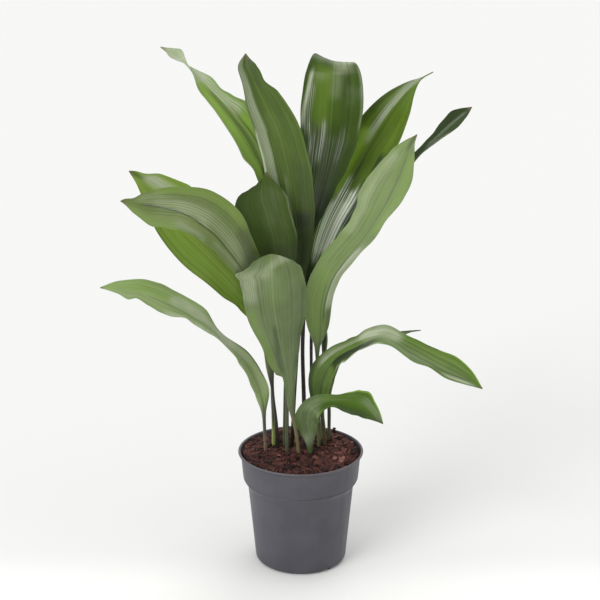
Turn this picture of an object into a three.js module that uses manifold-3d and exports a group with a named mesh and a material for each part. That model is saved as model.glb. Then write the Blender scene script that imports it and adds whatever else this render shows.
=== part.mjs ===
// A cast iron plant in a moulded nursery pot: 14 leaves that rise from one creeping rhizome.
// Millimetres, +Z up. The origin is the middle of the pot's underside.
// X runs to the right and Y to the back, as the plant is seen from the front.

import * as THREE from "three";
import { mergeVertices } from "three/addons/utils/BufferGeometryUtils.js";
import Module from "manifold-3d";

const wasm = await Module();
wasm.setup();

// The pot
const POT_HEIGHT = 178.5;
const RIM_RADIUS = 95.5;
const LIP_DROP = 2.6;
const LIP_WIDTH = 4;
const LIP_FLARE = 1.2;
const LIP_DRAFT = 0.4;
const LIP_BLEND = 2.6;
const COLLAR_TOP_RADIUS = 91.4;
const COLLAR_FOOT_RADIUS = 88.2;
const COLLAR_FOOT_HEIGHT = 135.5;
const SHOULDER_RADIUS = 81;
const SHOULDER_HEIGHT = 123.5;
const WALL_FOOT_RADIUS = 70;
const CORNER_RADIUS = 8;
const WALL = 1.6;
const FLOOR = 2;
const SIDES = 64;
const DRAIN_WIDTH = 15;
const DRAIN_HEIGHT = 5.5;
const DRAIN_REACH = 16;
const FIRST_DRAIN = -56;
const DRAINS = 3;

// The soil and what it holds
const GAP = 0.6;
const SOIL_LEVEL = 169.5;
const SOIL_CROWN = 3;
const CHIP_RELIEF = 2.4;
const SOIL_RINGS = 6;
const STALK_FOOT = 140;
const SEAT = 0.3;
const RHIZOME_LEVEL = 127;
const RHIZOME_WIDTH = 16;
const RHIZOME_WAIST = 0.86;
const RHIZOME_STEP = 16;
const BUD_WIDTH = 9;
const BUD_TIP = 0.8;
const BUD_SHOULDER = 5;
const ROOTS = 5;
const ROOT_TURN = 137.5;
const ROOT_WIDTH = 4.5;
const ROOT_MIDDLE = 0.8;
const ROOT_TIP = 0.4;
const ROOT_BEND = 35;
const ROOT_DEPTH = 85;
const ROOT_REACH = 50;
const ROOT_STEP = 28;

// The leaves
const STALK_STEP = 60;
const BLADE_STEP = 20;
const BLADE_THICKNESS = 1;
const STALK_TO_BLADE = 45;
const LEAF_SIDES = 14;
const LIMB_SIDES = 8;
const UPRIGHT = new THREE.Vector3(0, 0, 1);

const COLOURS = {
  pot: "#55575c",
  soil: "#5a3a30",
  rhizome: "#b9a27a",
  backLeaf: "#3f6630",
  frontLeaf: "#6c8a56",
};

// The rhizome's two branches, as x and y of the places they pass, all at one level.
const RHIZOME_BRANCHES = [
  [[-60, 8], [-40, 22], [-14, 20], [10, 22], [30, 32], [46, 44]],
  [[-14, 20], [-2, 6], [14, 0], [28, -8]],
];

// Each row of a leaf is a place on its midrib, from the rhizome to the tip: x, y, z, the width
// there, and the way that the upper side faces, in degrees round from the front (the right is
// positive) and in degrees up. The row numbered blade is where the stalk widens to the blade.
// The edges stand above the midrib by trough times the width, from its value at the blade's
// foot to that at its tip, and ripple by wave, waves times.
const LEAVES = {
  leaf_back_left: {
    colour: "backLeaf", blade: 3, trough: [0.16, 0.16], wave: 1.5, waves: 3,
    rows: [
      [-26, 33, 140, 6, 10, 10], [-24, 37, 243, 5.5, 10, 10], [-23, 47, 354, 5, 10, 10],
      [-25, 55, 430, 8, 10, 10], [-30, 64, 505, 42, 10, 10], [-46, 72, 585, 60, 12, 14],
      [-70, 80, 641, 57, 14, 18], [-104, 88, 681, 41, 16, 22], [-139, 98, 718, 27, 25, 28],
      [-155, 103, 734, 22, 60, 38], [-167, 106, 746, 16, 90, 40], [-178, 109, 757, 15, 140, 32],
      [-192, 113, 766, 10, 165, 25], [-208, 117, 774, 1.5, 165, 20],
    ],
  },
  leaf_tall_left: {
    colour: "backLeaf", blade: 3, trough: [0.1, 0.1], wave: 1.5, waves: 2,
    rows: [
      [-15, 22, 140, 6, 0, 5], [-10, 20, 251, 5.5, 0, 5], [-4, 22, 348, 5, 0, 5],
      [-1, 24, 425, 9, 0, 5], [-3, 24, 496, 42, 0, 6], [-10, 22, 557, 62, -4, 8],
      [-20, 20, 617, 68, -6, 8], [-34, 20, 669, 64, -8, 8], [-53, 22, 709, 52, -8, 10],
      [-68, 26, 740, 35, -8, 12], [-78, 32, 762, 21, -8, 16], [-79, 38, 776, 1.5, -8, 20],
    ],
  },
  leaf_tall_centre: {
    colour: "backLeaf", blade: 3, trough: [0.08, 0.08], wave: 1.5, waves: 2,
    rows: [
      [7, 30, 140, 6, 5, 0], [5, 31, 243, 5.5, 5, 0], [3, 36, 343, 5, 5, 0],
      [8, 42, 425, 9, 5, 5], [14, 48, 497, 38, 5, 8], [26, 54, 557, 62, 5, 10],
      [36, 60, 608, 80, 5, 12], [43, 66, 655, 89, 5, 15], [46, 75, 698, 91, 5, 22],
      [48, 90, 733, 84, 8, 42], [50, 112, 752, 66, 40, 72], [54, 136, 748, 46, 150, 74],
      [60, 156, 730, 26, 175, 50], [65, 168, 710, 1.5, 178, 35],
    ],
  },
  leaf_tall_right: {
    colour: "backLeaf", blade: 3, trough: [0.14, 0.14], wave: 1.5, waves: 3,
    rows: [
      [18, 41, 140, 6, -5, 10], [17, 42, 246, 5.5, -5, 10], [16, 48, 324, 5, -8, 10],
      [17, 56, 395, 8, -10, 15], [22, 66, 455, 36, -15, 20], [38, 78, 507, 60, -20, 26],
      [63, 90, 559, 76, -20, 30], [90, 102, 607, 78, -20, 30], [119, 114, 653, 66, -20, 30],
      [148, 126, 693, 42, -20, 32], [167, 134, 713, 18, -20, 34], [181, 140, 723, 4, -20, 36],
      [200, 148, 732, 1.5, -20, 36],
    ],
  },
  leaf_right_front: {
    colour: "frontLeaf", blade: 3, trough: [0.14, 0.14], wave: 2, waves: 3,
    rows: [
      [28, 26, 140, 6, 180, 0], [27, 23, 250, 5.5, 180, 0], [25, 18, 315, 5, 180, 5],
      [25, 14, 340, 9, 182, 8], [26, 6, 372, 32, 184, 10], [27, -1, 410, 42, 190, 12],
      [36, -8, 450, 46, 196, 14], [58, -16, 488, 48, 202, 16], [86, -24, 525, 56, 204, 16],
      [108, -32, 567, 68, 206, 16], [126, -40, 606, 66, 206, 16], [140, -46, 636, 47, 206, 18],
      [150, -50, 657, 24, 206, 22], [162, -54, 677, 1.5, 206, 30],
    ],
  },
  leaf_far_right: {
    colour: "backLeaf", blade: 2, trough: [0.12, 0.12], wave: 1.5, waves: 3,
    rows: [
      [33, 53, 140, 6, -40, 10], [34, 49, 240, 5.5, -45, 20], [36, 46, 325, 8, -60, 30],
      [38, 48, 372, 24, -70, 35], [45, 52, 422, 42, -72, 37], [64, 58, 468, 50, -72, 38],
      [93, 66, 512, 50, -72, 38], [125, 75, 556, 42, -70, 40], [153, 83, 592, 28, -64, 42],
      [178, 91, 620, 16, -50, 45], [204, 98, 644, 23, -42, 50], [225, 105, 663, 40, -36, 52],
      [241, 111, 674, 28, -36, 54], [257, 118, 684, 1.5, -36, 56],
    ],
  },
  leaf_left_front: {
    colour: "backLeaf", blade: 3, trough: [0.1, 0.1], wave: 2, waves: 3,
    rows: [
      [-35, 26, 140, 6, 10, 5], [-37, 22, 204, 5.5, 10, 5], [-43, 12, 274, 5, 12, 10],
      [-46, 4, 309, 8, 14, 14], [-50, -8, 358, 16, 16, 20], [-57, -22, 410, 24, 18, 26],
      [-67, -36, 457, 38, 20, 30], [-80, -50, 494, 54, 20, 34], [-101, -62, 534, 74, 20, 38],
      [-132, -74, 567, 78, 20, 42], [-162, -86, 583, 68, 18, 44], [-190, -96, 589, 56, 14, 42],
      [-214, -104, 592, 40, 8, 40], [-231, -110, 594, 22, 4, 38], [-247, -116, 597, 1.5, 0, 38],
    ],
  },
  leaf_left_behind: {
    colour: "backLeaf", blade: 2, trough: [0.14, 0.14], wave: 1.5, waves: 2,
    rows: [
      [-42, 33, 140, 6, 15, 10], [-43, 35, 240, 5.5, 15, 10], [-47, 35, 303, 7, 18, 15],
      [-54, 31, 350, 30, 20, 20], [-71, 25, 402, 60, 20, 25], [-100, 18, 452, 84, 20, 30],
      [-136, 12, 493, 98, 20, 30], [-168, 6, 528, 98, 20, 32], [-194, 0, 561, 84, 20, 34],
      [-214, -6, 588, 58, 20, 36], [-231, -10, 605, 29, 20, 38], [-246, -14, 616, 1.5, 20, 40],
    ],
  },
  leaf_inner: {
    colour: "backLeaf", blade: 3, trough: [0.08, 0.08], wave: 3, waves: 2,
    rows: [
      [-21, 6, 140, 6, 0, 5], [-21, 8, 256, 5.5, 0, 5], [-22, 8, 340, 5, 0, 5],
      [-25, 7, 400, 8, 0, 5], [-33, 5, 465, 50, 0, 5], [-41, 3, 515, 76, 0, 5],
      [-50, 2, 548, 82, 0, 5], [-57, 2, 574, 70, 0, 5], [-56, 3, 594, 42, 0, 5],
      [-49, 5, 611, 1.5, 0, 5],
    ],
  },
  leaf_centre_front: {
    colour: "frontLeaf", blade: 2, trough: [0.14, -0.22], wave: 2, waves: 2,
    rows: [
      [-1, -1, 140, 6, 0, 0], [-6, -4, 202, 5.5, 0, 0], [-12, -10, 240, 8, 0, 5],
      [-18, -20, 280, 22, 0, 8], [-23, -32, 321, 40, 0, 12], [-30, -46, 362, 64, 0, 14],
      [-36, -62, 403, 86, 0, 12], [-40, -76, 442, 96, 0, 14], [-41, -84, 475, 92, 0, 30],
      [-42, -80, 498, 76, -5, 60], [-43, -67, 507, 52, -20, 82], [-44, -56, 503, 29, 180, 70],
      [-46, -48, 494, 1.5, 180, 50],
    ],
  },
  leaf_low_left: {
    colour: "frontLeaf", blade: 2, trough: [0.12, 0.12], wave: 3, waves: 4,
    rows: [
      [-53, 3, 140, 6, 15, 5], [-55, 2, 209, 5, 15, 8], [-56, -1, 239, 7, 18, 12],
      [-58, -8, 270, 22, 22, 18], [-68, -18, 310, 27, 30, 30], [-88, -30, 345, 28, 42, 48],
      [-111, -42, 370, 31, 46, 60], [-136, -52, 394, 38, 30, 62], [-163, -60, 417, 46, 12, 58],
      [-195, -68, 436, 50, 5, 56], [-226, -76, 452, 44, 2, 58], [-254, -82, 460, 30, 0, 62],
      [-270, -86, 463, 16, 0, 66], [-284, -88, 464, 1.5, 0, 70],
    ],
  },
  leaf_low_right: {
    colour: "frontLeaf", blade: 2, trough: [0.2, 0.2], wave: 2.5, waves: 3,
    rows: [
      [38, 30, 140, 6, -5, 5], [36, 22, 201, 5.5, -5, 5], [32, 10, 236, 8, -5, 10],
      [28, -2, 271, 28, -8, 18], [34, -8, 305, 38, -15, 30], [51, -16, 331, 40, -25, 50],
      [74, -26, 352, 38, -30, 66], [99, -34, 368, 34, -20, 72], [127, -42, 374, 34, 0, 68],
      [156, -50, 361, 38, 15, 60], [188, -58, 345, 42, 24, 54], [217, -66, 332, 39, 26, 50],
      [241, -72, 321, 27, 26, 48], [264, -78, 307, 1.5, 26, 46],
    ],
  },
  leaf_small_front: {
    colour: "frontLeaf", blade: 1, trough: [0.12, 0.12], wave: 1.5, waves: 2,
    rows: [
      [16, 3, 140, 6, -5, 5], [14, -1, 182, 6, -5, 8], [11, -12, 214, 25, -5, 12],
      [9, -22, 240, 40, -8, 16], [16, -32, 260, 38, -12, 28], [34, -40, 272, 32, -5, 42],
      [55, -46, 276, 32, 0, 48], [76, -52, 276, 41, 5, 48], [93, -57, 271, 37, 10, 46],
      [108, -61, 261, 22, 18, 42], [121, -65, 247, 1.5, 24, 40],
    ],
  },
  leaf_low_hidden: {
    colour: "backLeaf", blade: 2, trough: [0.15, 0.15], wave: 1.5, waves: 2,
    rows: [
      [44, 45, 140, 6, -10, 10], [44, 42, 215, 5.5, -12, 20], [44, 37, 258, 7, -15, 35],
      [48, 33, 290, 18, -20, 50], [60, 30, 317, 26, -20, 65], [82, 30, 336, 30, -10, 75],
      [108, 30, 346, 30, 0, 78], [135, 30, 353, 26, 5, 76], [162, 30, 358, 18, 8, 74],
      [182, 30, 360, 1.5, 8, 72],
    ],
  },
};

// How far each edge of a blade lies from its midrib, as a share of half the width in the rows
// above: along the blade from its foot (0) to its tip (1), then the left and the right edge.
const EDGES = {
  leaf_back_left: [
    [0, 1, 1], [0.3, 0.6, 1], [0.42, 0.65, 1], [0.5, 1, 1.05], [0.6, 1, 1.15], [0.65, 1, 1.32],
    [0.7, 1, 1.05], [0.74, 1.05, 0.85], [0.8, 1.3, 1.15], [0.86, 1.2, 1], [0.9, 1.1, 1.1],
    [0.93, 2, 1.6], [0.96, 1.5, 2.2], [0.98, 1.2, 1.3], [1, 1, 1],
  ],
  leaf_tall_left: [
    [0, 1, 0.95], [0.5, 1, 1], [0.77, 1, 1.05], [0.81, 1, 1.04], [0.87, 0.95, 0.76],
    [0.92, 0.98, 0.98], [0.96, 1.12, 1.1], [1, 1, 1],
  ],
  leaf_tall_centre: [
    [0, 1, 0.85], [0.3, 1, 0.9], [0.5, 1, 0.95], [0.7, 1, 1], [1, 1, 1],
  ],
  leaf_tall_right: [
    [0, 1, 1], [0.6, 1, 1.1], [0.7, 1, 1.32], [0.8, 1, 1.32], [0.88, 1, 1.2], [0.94, 1, 1],
    [1, 1, 1],
  ],
  leaf_right_front: [
    [0, 1, 1], [0.2, 1, 1], [0.3, 1.12, 1], [0.4, 1.15, 1], [0.5, 1.25, 0.95], [0.6, 1.25, 0.88],
    [0.65, 1.3, 0.8], [0.7, 1.35, 0.96], [0.8, 1.38, 0.94], [0.88, 1.3, 1], [0.93, 1.3, 1.25],
    [0.97, 1.1, 1.3], [1, 1, 1],
  ],
  leaf_far_right: [
    [0, 1, 1], [0.75, 1, 1.2], [0.8, 1, 1.3], [0.85, 0.72, 1.2], [0.9, 0.62, 1.08], [0.95, 0.95, 1],
    [1, 1, 1],
  ],
  leaf_left_front: [
    [0, 1, 1], [0.45, 1, 0.85], [0.52, 1.05, 0.82], [0.6, 1.1, 0.95], [0.7, 1.22, 0.92],
    [0.8, 1.42, 0.8], [0.86, 1.58, 0.8], [0.92, 1.95, 0.72], [0.96, 1.75, 0.5], [1, 1, 1],
  ],
  leaf_left_behind: [
    [0, 0.8, 1], [0.2, 0.62, 1], [0.3, 0.78, 1], [0.4, 1, 0.95], [0.6, 1, 0.85], [0.7, 1, 0.9],
    [0.8, 1, 1.02], [0.9, 1, 0.9], [0.95, 1, 0.56], [1, 1, 0.8],
  ],
  leaf_inner: [
    [0, 1, 1], [0.5, 1, 0.96], [0.6, 1, 0.88], [0.7, 1, 0.87], [0.8, 1.08, 1], [0.845, 1, 1.1],
    [0.865, 0.66, 1.15], [0.885, 0.52, 1.2], [0.9, 0.34, 1.25], [0.92, 0.28, 1.4],
    [0.95, 0.08, 1.7], [1, 0.5, 1.2],
  ],
  leaf_centre_front: [
    [0, 0.6, 0.8], [0.1, 0.42, 0.8], [0.2, 0.36, 0.84], [0.225, 0.36, 0.86], [0.25, 0.82, 0.88],
    [0.3, 0.92, 0.92], [0.4, 0.8, 0.93], [0.5, 0.84, 0.95], [0.6, 0.9, 1], [0.7, 0.88, 1],
    [0.78, 0.98, 1], [0.815, 1.18, 1], [0.835, 0.9, 1], [0.86, 0.82, 1], [1, 1, 1],
  ],
  leaf_low_left: [
    [0, 1, 1], [0.1, 1, 1], [0.2, 1.45, 0.78], [0.3, 1.6, 0.58], [0.4, 2.2, 0.55],
    [0.5, 0.85, 0.92], [0.56, 0.52, 1], [0.62, 0.65, 1], [0.7, 1.02, 1], [0.75, 1, 1.04],
    [0.8, 0.86, 0.96], [0.85, 0.66, 1], [0.9, 1.42, 1], [0.94, 1.2, 1.05], [1, 1, 1],
  ],
  leaf_low_right: [
    [0, 1, 1], [0.2, 1, 1], [0.3, 0.85, 1.1], [0.36, 0.8, 1.9], [0.42, 0.85, 3.3], [0.47, 1.08, 2.9],
    [0.53, 1.05, 1.2], [0.6, 0.78, 1.05], [0.7, 0.86, 1.3], [0.77, 0.95, 1.05], [0.85, 1.05, 1.2],
    [0.93, 1, 1.15], [1, 1, 1],
  ],
  leaf_small_front: [
    [0, 1, 1], [0.1, 1.05, 1.2], [0.2, 0.95, 1], [0.3, 0.85, 1], [0.4, 0.84, 1.25],
    [0.5, 0.72, 1.15], [0.6, 0.6, 0.8], [0.7, 0.76, 1.1], [0.76, 1, 1.12], [0.81, 1.2, 1.02],
    [0.87, 0.95, 1.2], [0.93, 0.88, 1.2], [1, 1, 1],
  ],
  leaf_low_hidden: [
    [0, 1, 1], [0.65, 1, 1], [0.76, 0.3, 0.8], [0.85, 0.15, 0.9], [0.93, 0.2, 0.5], [1, 0.5, 0.5],
  ],
};

// A direction: degrees round from the front, to the right, and degrees up.
function facing(round, up) {
  const r = THREE.MathUtils.degToRad(round);
  const u = THREE.MathUtils.degToRad(up);
  return [Math.sin(r) * Math.cos(u), -Math.cos(r) * Math.cos(u), Math.sin(u)];
}

// A smooth curve through rows of numbers, of which the first three are a place. It gives the
// numbers at a distance along it, and the distance of each row.
function curveThrough(rows) {
  const at = [0];
  for (let i = 1; i < rows.length; i++) {
    const step = Math.hypot(...[0, 1, 2].map((k) => rows[i][k] - rows[i - 1][k]));
    at.push(at[i - 1] + step);
  }
  const rise = (i, k) => (rows[i + 1][k] - rows[i][k]) / (at[i + 1] - at[i]);
  const last = rows.length - 1;
  const slope = (i, k) => {
    if (i === 0) return rise(0, k);
    if (i === last) return rise(last - 1, k);
    const before = at[i] - at[i - 1];
    const after = at[i + 1] - at[i];
    return (rise(i - 1, k) * after + rise(i, k) * before) / (before + after);
  };
  const value = (distance) => {
    let i = 0;
    while (i < last - 1 && distance > at[i + 1]) i++;
    const span = at[i + 1] - at[i];
    const t = (distance - at[i]) / span;
    return rows[i].map((_, k) => {
      const rest = 1 - t;
      const start = rows[i][k] * (1 + 2 * t) * rest * rest;
      const end = rows[i + 1][k] * (3 - 2 * t) * t * t;
      const lean = slope(i, k) * t * rest * rest - slope(i + 1, k) * rest * t * t;
      return start + end + span * lean;
    });
  };
  return { at, value, length: at[last] };
}

// The distances of the rings along a leaf: sparse on the stalk, closer on the blade.
function ringDistances(at, blade) {
  const distances = [0];
  for (let i = 1; i < at.length; i++) {
    const step = i <= blade ? STALK_STEP : BLADE_STEP;
    const span = at[i] - at[i - 1];
    const parts = Math.max(1, Math.round(span / step));
    for (let p = 1; p <= parts; p++) {
      distances.push(at[i - 1] + (span * p) / parts);
    }
  }
  return distances;
}

// One ring of a stalk or blade, its upper points from left to right and then its lower ones
// from right to left. roundness is 1 on a stalk and 0 on a blade, rise lifts a point of the
// blade at q, which runs from -1 at the left edge to 1 at the right, and spread widens it there.
function ring(place, along, upper, halfWidth, roundness, sides, rise, spread) {
  const side = new THREE.Vector3().crossVectors(along, upper).normalize();
  const up = new THREE.Vector3().crossVectors(side, along).normalize();
  const points = [];
  for (let i = 0; i < sides; i++) {
    const face = i < sides / 2 ? 1 : -1;
    const column = face > 0 ? i : sides - 1 - i;
    const q = (2 * column) / (sides / 2 - 1) - 1;
    const angle = Math.PI - ((i + 0.5) * 2 * Math.PI) / sides;
    const flat = [halfWidth * q * spread(q), rise(q) + (face * BLADE_THICKNESS) / 2];
    const round = [halfWidth * Math.cos(angle), halfWidth * Math.sin(angle)];
    const point = place.clone();
    point.addScaledVector(side, THREE.MathUtils.lerp(flat[0], round[0], roundness));
    point.addScaledVector(up, THREE.MathUtils.lerp(flat[1], round[1], roundness));
    points.push(point);
  }
  return points;
}

// A closed skin over rings. Both faces are split along the same diagonals, so that a thin
// waved blade keeps its thickness.
function skin(rings) {
  const size = rings[0].length;
  const half = size / 2;
  const triangles = [];
  for (let j = 0; j + 1 < rings.length; j++) {
    for (let i = 0; i < size; i++) {
      const next = (i + 1) % size;
      const [a, b] = [j * size + i, j * size + next];
      const [c, d] = [a + size, b + size];
      if (i < half) triangles.push(a, b, d, a, d, c);
      else triangles.push(a, b, c, b, d, c);
    }
  }
  const end = (rings.length - 1) * size;
  for (let i = 0; i + 1 < half; i++) {
    const [a, b, c, d] = [i, i + 1, size - 2 - i, size - 1 - i];
    triangles.push(a, c, b, a, d, c);
    triangles.push(end + a, end + b, end + c, end + a, end + c, end + d);
  }
  const places = rings.flat().flatMap((point) => point.toArray());
  const geometry = new THREE.BufferGeometry();
  geometry.setAttribute("position", new THREE.Float32BufferAttribute(places, 3));
  geometry.setIndex(triangles);
  return geometry;
}

// A leaf's curve, with the facing turned from angles to a direction that can be blended.
function leafCurve(leaf) {
  const rows = leaf.rows.map(([x, y, z, width, round, up]) => {
    return [x, y, z, width, ...facing(round, up)];
  });
  return curveThrough(rows);
}

function directionAt(curve, distance) {
  const reach = 2;
  const ahead = new THREE.Vector3(...curve.value(Math.min(distance + reach, curve.length)));
  const behind = new THREE.Vector3(...curve.value(Math.max(distance - reach, 0)));
  return ahead.sub(behind).normalize();
}

// How far the left and the right edge lie out at a share of a blade's length.
function edgeShares(edges, share) {
  let i = 0;
  while (i < edges.length - 2 && share > edges[i + 1][0]) i++;
  const [from, to] = [edges[i], edges[i + 1]];
  const blend = THREE.MathUtils.smoothstep(share, from[0], to[0]);
  return [1, 2].map((k) => THREE.MathUtils.lerp(from[k], to[k], blend));
}

function leafGeometry(name) {
  const leaf = LEAVES[name];
  const curve = leafCurve(leaf);
  const bladeStart = curve.at[leaf.blade];
  const bladeLength = curve.length - bladeStart;
  const rings = ringDistances(curve.at, leaf.blade).map((distance) => {
    const [x, y, z, width, nx, ny, nz] = curve.value(distance);
    const bladeFull = bladeStart + STALK_TO_BLADE;
    const roundness = 1 - THREE.MathUtils.smoothstep(distance, bladeStart, bladeFull);
    const share = Math.max(0, distance - bladeStart) / bladeLength;
    const ripple = leaf.wave * Math.sin(2 * Math.PI * leaf.waves * share) * Math.sin(Math.PI * share);
    const trough = THREE.MathUtils.lerp(...leaf.trough, share);
    const [left, right] = edgeShares(EDGES[name], share);
    const spread = (q) => (q < 0 ? left : right);
    const rise = (q) => (trough * width * spread(q) + ripple * Math.sign(q)) * q * q;
    const place = new THREE.Vector3(x, y, z);
    const upper = new THREE.Vector3(nx, ny, nz);
    const along = distance > 0 ? directionAt(curve, distance) : UPRIGHT;
    return ring(place, along, upper, width / 2, roundness, LEAF_SIDES, rise, spread);
  });
  return skin(rings);
}

// A round limb through rows of x, y, z and diameter, thicker all over by grow.
function limbGeometry(rows, upper, step, grow) {
  const curve = curveThrough(rows);
  const parts = Math.max(1, Math.round(curve.length / step));
  const rings = [];
  for (let p = 0; p <= parts; p++) {
    const distance = (curve.length * p) / parts;
    const [x, y, z, width] = curve.value(distance);
    const along = directionAt(curve, distance);
    const place = new THREE.Vector3(x, y, z);
    if (p === 0) place.addScaledVector(along, -grow);
    if (p === parts) place.addScaledVector(along, grow);
    rings.push(ring(place, along, upper, width / 2 + grow, 1, LIMB_SIDES, () => 0, () => 1));
  }
  return skin(rings);
}

// A solid to cut or join, from a geometry whose faces close.
function solid(geometry) {
  const bare = geometry.clone();
  bare.deleteAttribute("normal");
  bare.deleteAttribute("uv");
  const merged = mergeVertices(bare, 1e-3);
  const all = Array.from(merged.index.array);
  const kept = [];
  for (let i = 0; i < all.length; i += 3) {
    const [a, b, c] = all.slice(i, i + 3);
    if (a !== b && b !== c && c !== a) kept.push(a, b, c);
  }
  const vertProperties = Float32Array.from(merged.attributes.position.array);
  const triVerts = Uint32Array.from(kept);
  return new wasm.Manifold(new wasm.Mesh({ numProp: 3, vertProperties, triVerts }));
}

function geometryOf(body) {
  const { vertProperties, triVerts } = body.getMesh();
  const geometry = new THREE.BufferGeometry();
  geometry.setAttribute("position", new THREE.BufferAttribute(vertProperties, 3));
  geometry.setIndex(new THREE.BufferAttribute(triVerts, 1));
  return geometry;
}

function joined(solids) {
  return solids.reduce((whole, next) => whole.add(next));
}

// A solid turned round the Z axis from [radius, height] pairs.
function turned(profile) {
  const points = profile.map(([radius, height]) => new THREE.Vector2(radius, height));
  return new THREE.LatheGeometry(points, SIDES).rotateX(Math.PI / 2);
}

// Part of a circle in a profile, between two angles in degrees.
function arc(centreRadius, centreHeight, radius, from, to, steps) {
  const points = [];
  for (let i = 0; i <= steps; i++) {
    const angle = THREE.MathUtils.degToRad(from + ((to - from) * i) / steps);
    points.push([centreRadius + radius * Math.cos(angle), centreHeight + radius * Math.sin(angle)]);
  }
  return points;
}

// The pot's outer profile, from the middle of the underside up to the collar.
function outerProfile() {
  return [
    [0, 0],
    ...arc(WALL_FOOT_RADIUS - CORNER_RADIUS, CORNER_RADIUS, CORNER_RADIUS, -90, 0, 3),
    [SHOULDER_RADIUS, SHOULDER_HEIGHT],
    [COLLAR_FOOT_RADIUS, COLLAR_FOOT_HEIGHT],
    [COLLAR_TOP_RADIUS, POT_HEIGHT - LIP_DROP - LIP_BLEND],
  ];
}

// The inside of the pot, from the middle of the floor up to the lip, drawn in by inset.
function innerProfile(inset) {
  const off = WALL + inset;
  const foot = FLOOR + inset;
  const corner = CORNER_RADIUS - WALL;
  return [
    [0, foot],
    ...arc(WALL_FOOT_RADIUS - off - corner, foot + corner, corner, -90, 0, 2),
    [SHOULDER_RADIUS - off, SHOULDER_HEIGHT],
    [COLLAR_FOOT_RADIUS - off, COLLAR_FOOT_HEIGHT],
    [COLLAR_TOP_RADIUS - off, POT_HEIGHT - LIP_DROP - LIP_BLEND],
  ];
}

function potSolid() {
  const lipFoot = POT_HEIGHT - LIP_DROP;
  const top = LIP_WIDTH / 2;
  const lip = [
    [RIM_RADIUS - LIP_FLARE, lipFoot - LIP_FLARE],
    [RIM_RADIUS - LIP_DRAFT, lipFoot],
    ...arc(RIM_RADIUS - top, POT_HEIGHT - top, top, 0, 180, 4),
  ];
  const inner = innerProfile(0).reverse();
  const body = solid(turned([...outerProfile(), ...lip, ...inner]));
  const notches = [];
  for (let i = 0; i < DRAINS; i++) {
    const notch = new THREE.BoxGeometry(DRAIN_REACH * 2, DRAIN_WIDTH, DRAIN_HEIGHT * 2);
    notch.translate(WALL_FOOT_RADIUS, 0, 0);
    notch.rotateZ(THREE.MathUtils.degToRad(FIRST_DRAIN + (360 * i) / DRAINS));
    notches.push(solid(notch));
  }
  return body.subtract(joined(notches));
}

// The curves of the rhizome's branches, knobbly along their length.
function rhizomeCurves() {
  return RHIZOME_BRANCHES.map((branch) => {
    const rows = branch.map(([x, y], i) => {
      return [x, y, RHIZOME_LEVEL, RHIZOME_WIDTH * (i % 2 ? 1 : RHIZOME_WAIST)];
    });
    return { rows, curve: curveThrough(rows) };
  });
}

// The rows of the bud that carries a leaf's stalk, from the nearest place on the rhizome.
function budRows(leaf, places) {
  const top = new THREE.Vector3(...leaf.rows[0]).setZ(STALK_FOOT - SEAT);
  const nearest = places.reduce((a, b) => (a.distanceTo(top) < b.distanceTo(top) ? a : b));
  return [
    [...nearest.toArray(), BUD_WIDTH],
    [top.x, top.y, top.z - BUD_SHOULDER, BUD_WIDTH],
    [...top.toArray(), BUD_WIDTH * BUD_TIP],
  ];
}

// The rows of a fleshy root that leaves the rhizome at a place and runs out and down.
function rootRows(start, out) {
  const end = out.clone().multiplyScalar(ROOT_REACH);
  const middle = start.clone().add(end).multiplyScalar(0.5);
  return [
    [start.x, start.y, RHIZOME_LEVEL, ROOT_WIDTH],
    [middle.x, middle.y, RHIZOME_LEVEL - ROOT_BEND, ROOT_WIDTH * ROOT_MIDDLE],
    [end.x, end.y, RHIZOME_LEVEL - ROOT_DEPTH, ROOT_WIDTH * ROOT_TIP],
  ];
}

// The rhizome with a bud under each stalk and its fleshy roots, thicker all over by grow.
function rhizomeSolid(grow) {
  const sideways = new THREE.Vector3(1, 0, 0);
  const limbs = [];
  const places = [];
  for (const { rows, curve } of rhizomeCurves()) {
    limbs.push(limbGeometry(rows, UPRIGHT, RHIZOME_STEP, grow));
    for (let distance = 0; distance <= curve.length; distance += 3) {
      places.push(new THREE.Vector3(...curve.value(distance)));
    }
  }
  for (const leaf of Object.values(LEAVES)) {
    limbs.push(limbGeometry(budRows(leaf, places), sideways, BUD_WIDTH, grow));
  }
  for (let i = 0; i < ROOTS; i++) {
    const start = places[Math.floor(((i + 0.5) * places.length) / ROOTS)].clone().setZ(0);
    const turn = THREE.MathUtils.degToRad(i * ROOT_TURN);
    const out = new THREE.Vector3(Math.cos(turn), Math.sin(turn), 0);
    limbs.push(limbGeometry(rootRows(start, out), out, ROOT_STEP, grow));
  }
  return joined(limbs.map(solid));
}

// The height of the bark chips above the soil's level.
function relief(x, y) {
  const crown = SOIL_CROWN * (1 - (x * x + y * y) / (COLLAR_TOP_RADIUS * COLLAR_TOP_RADIUS));
  const rows = Math.sin(0.41 * x + 1.3 * Math.sin(0.23 * y));
  const columns = Math.sin(0.37 * y + 1.1 * Math.sin(0.29 * x));
  return crown + CHIP_RELIEF * rows * columns;
}

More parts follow.
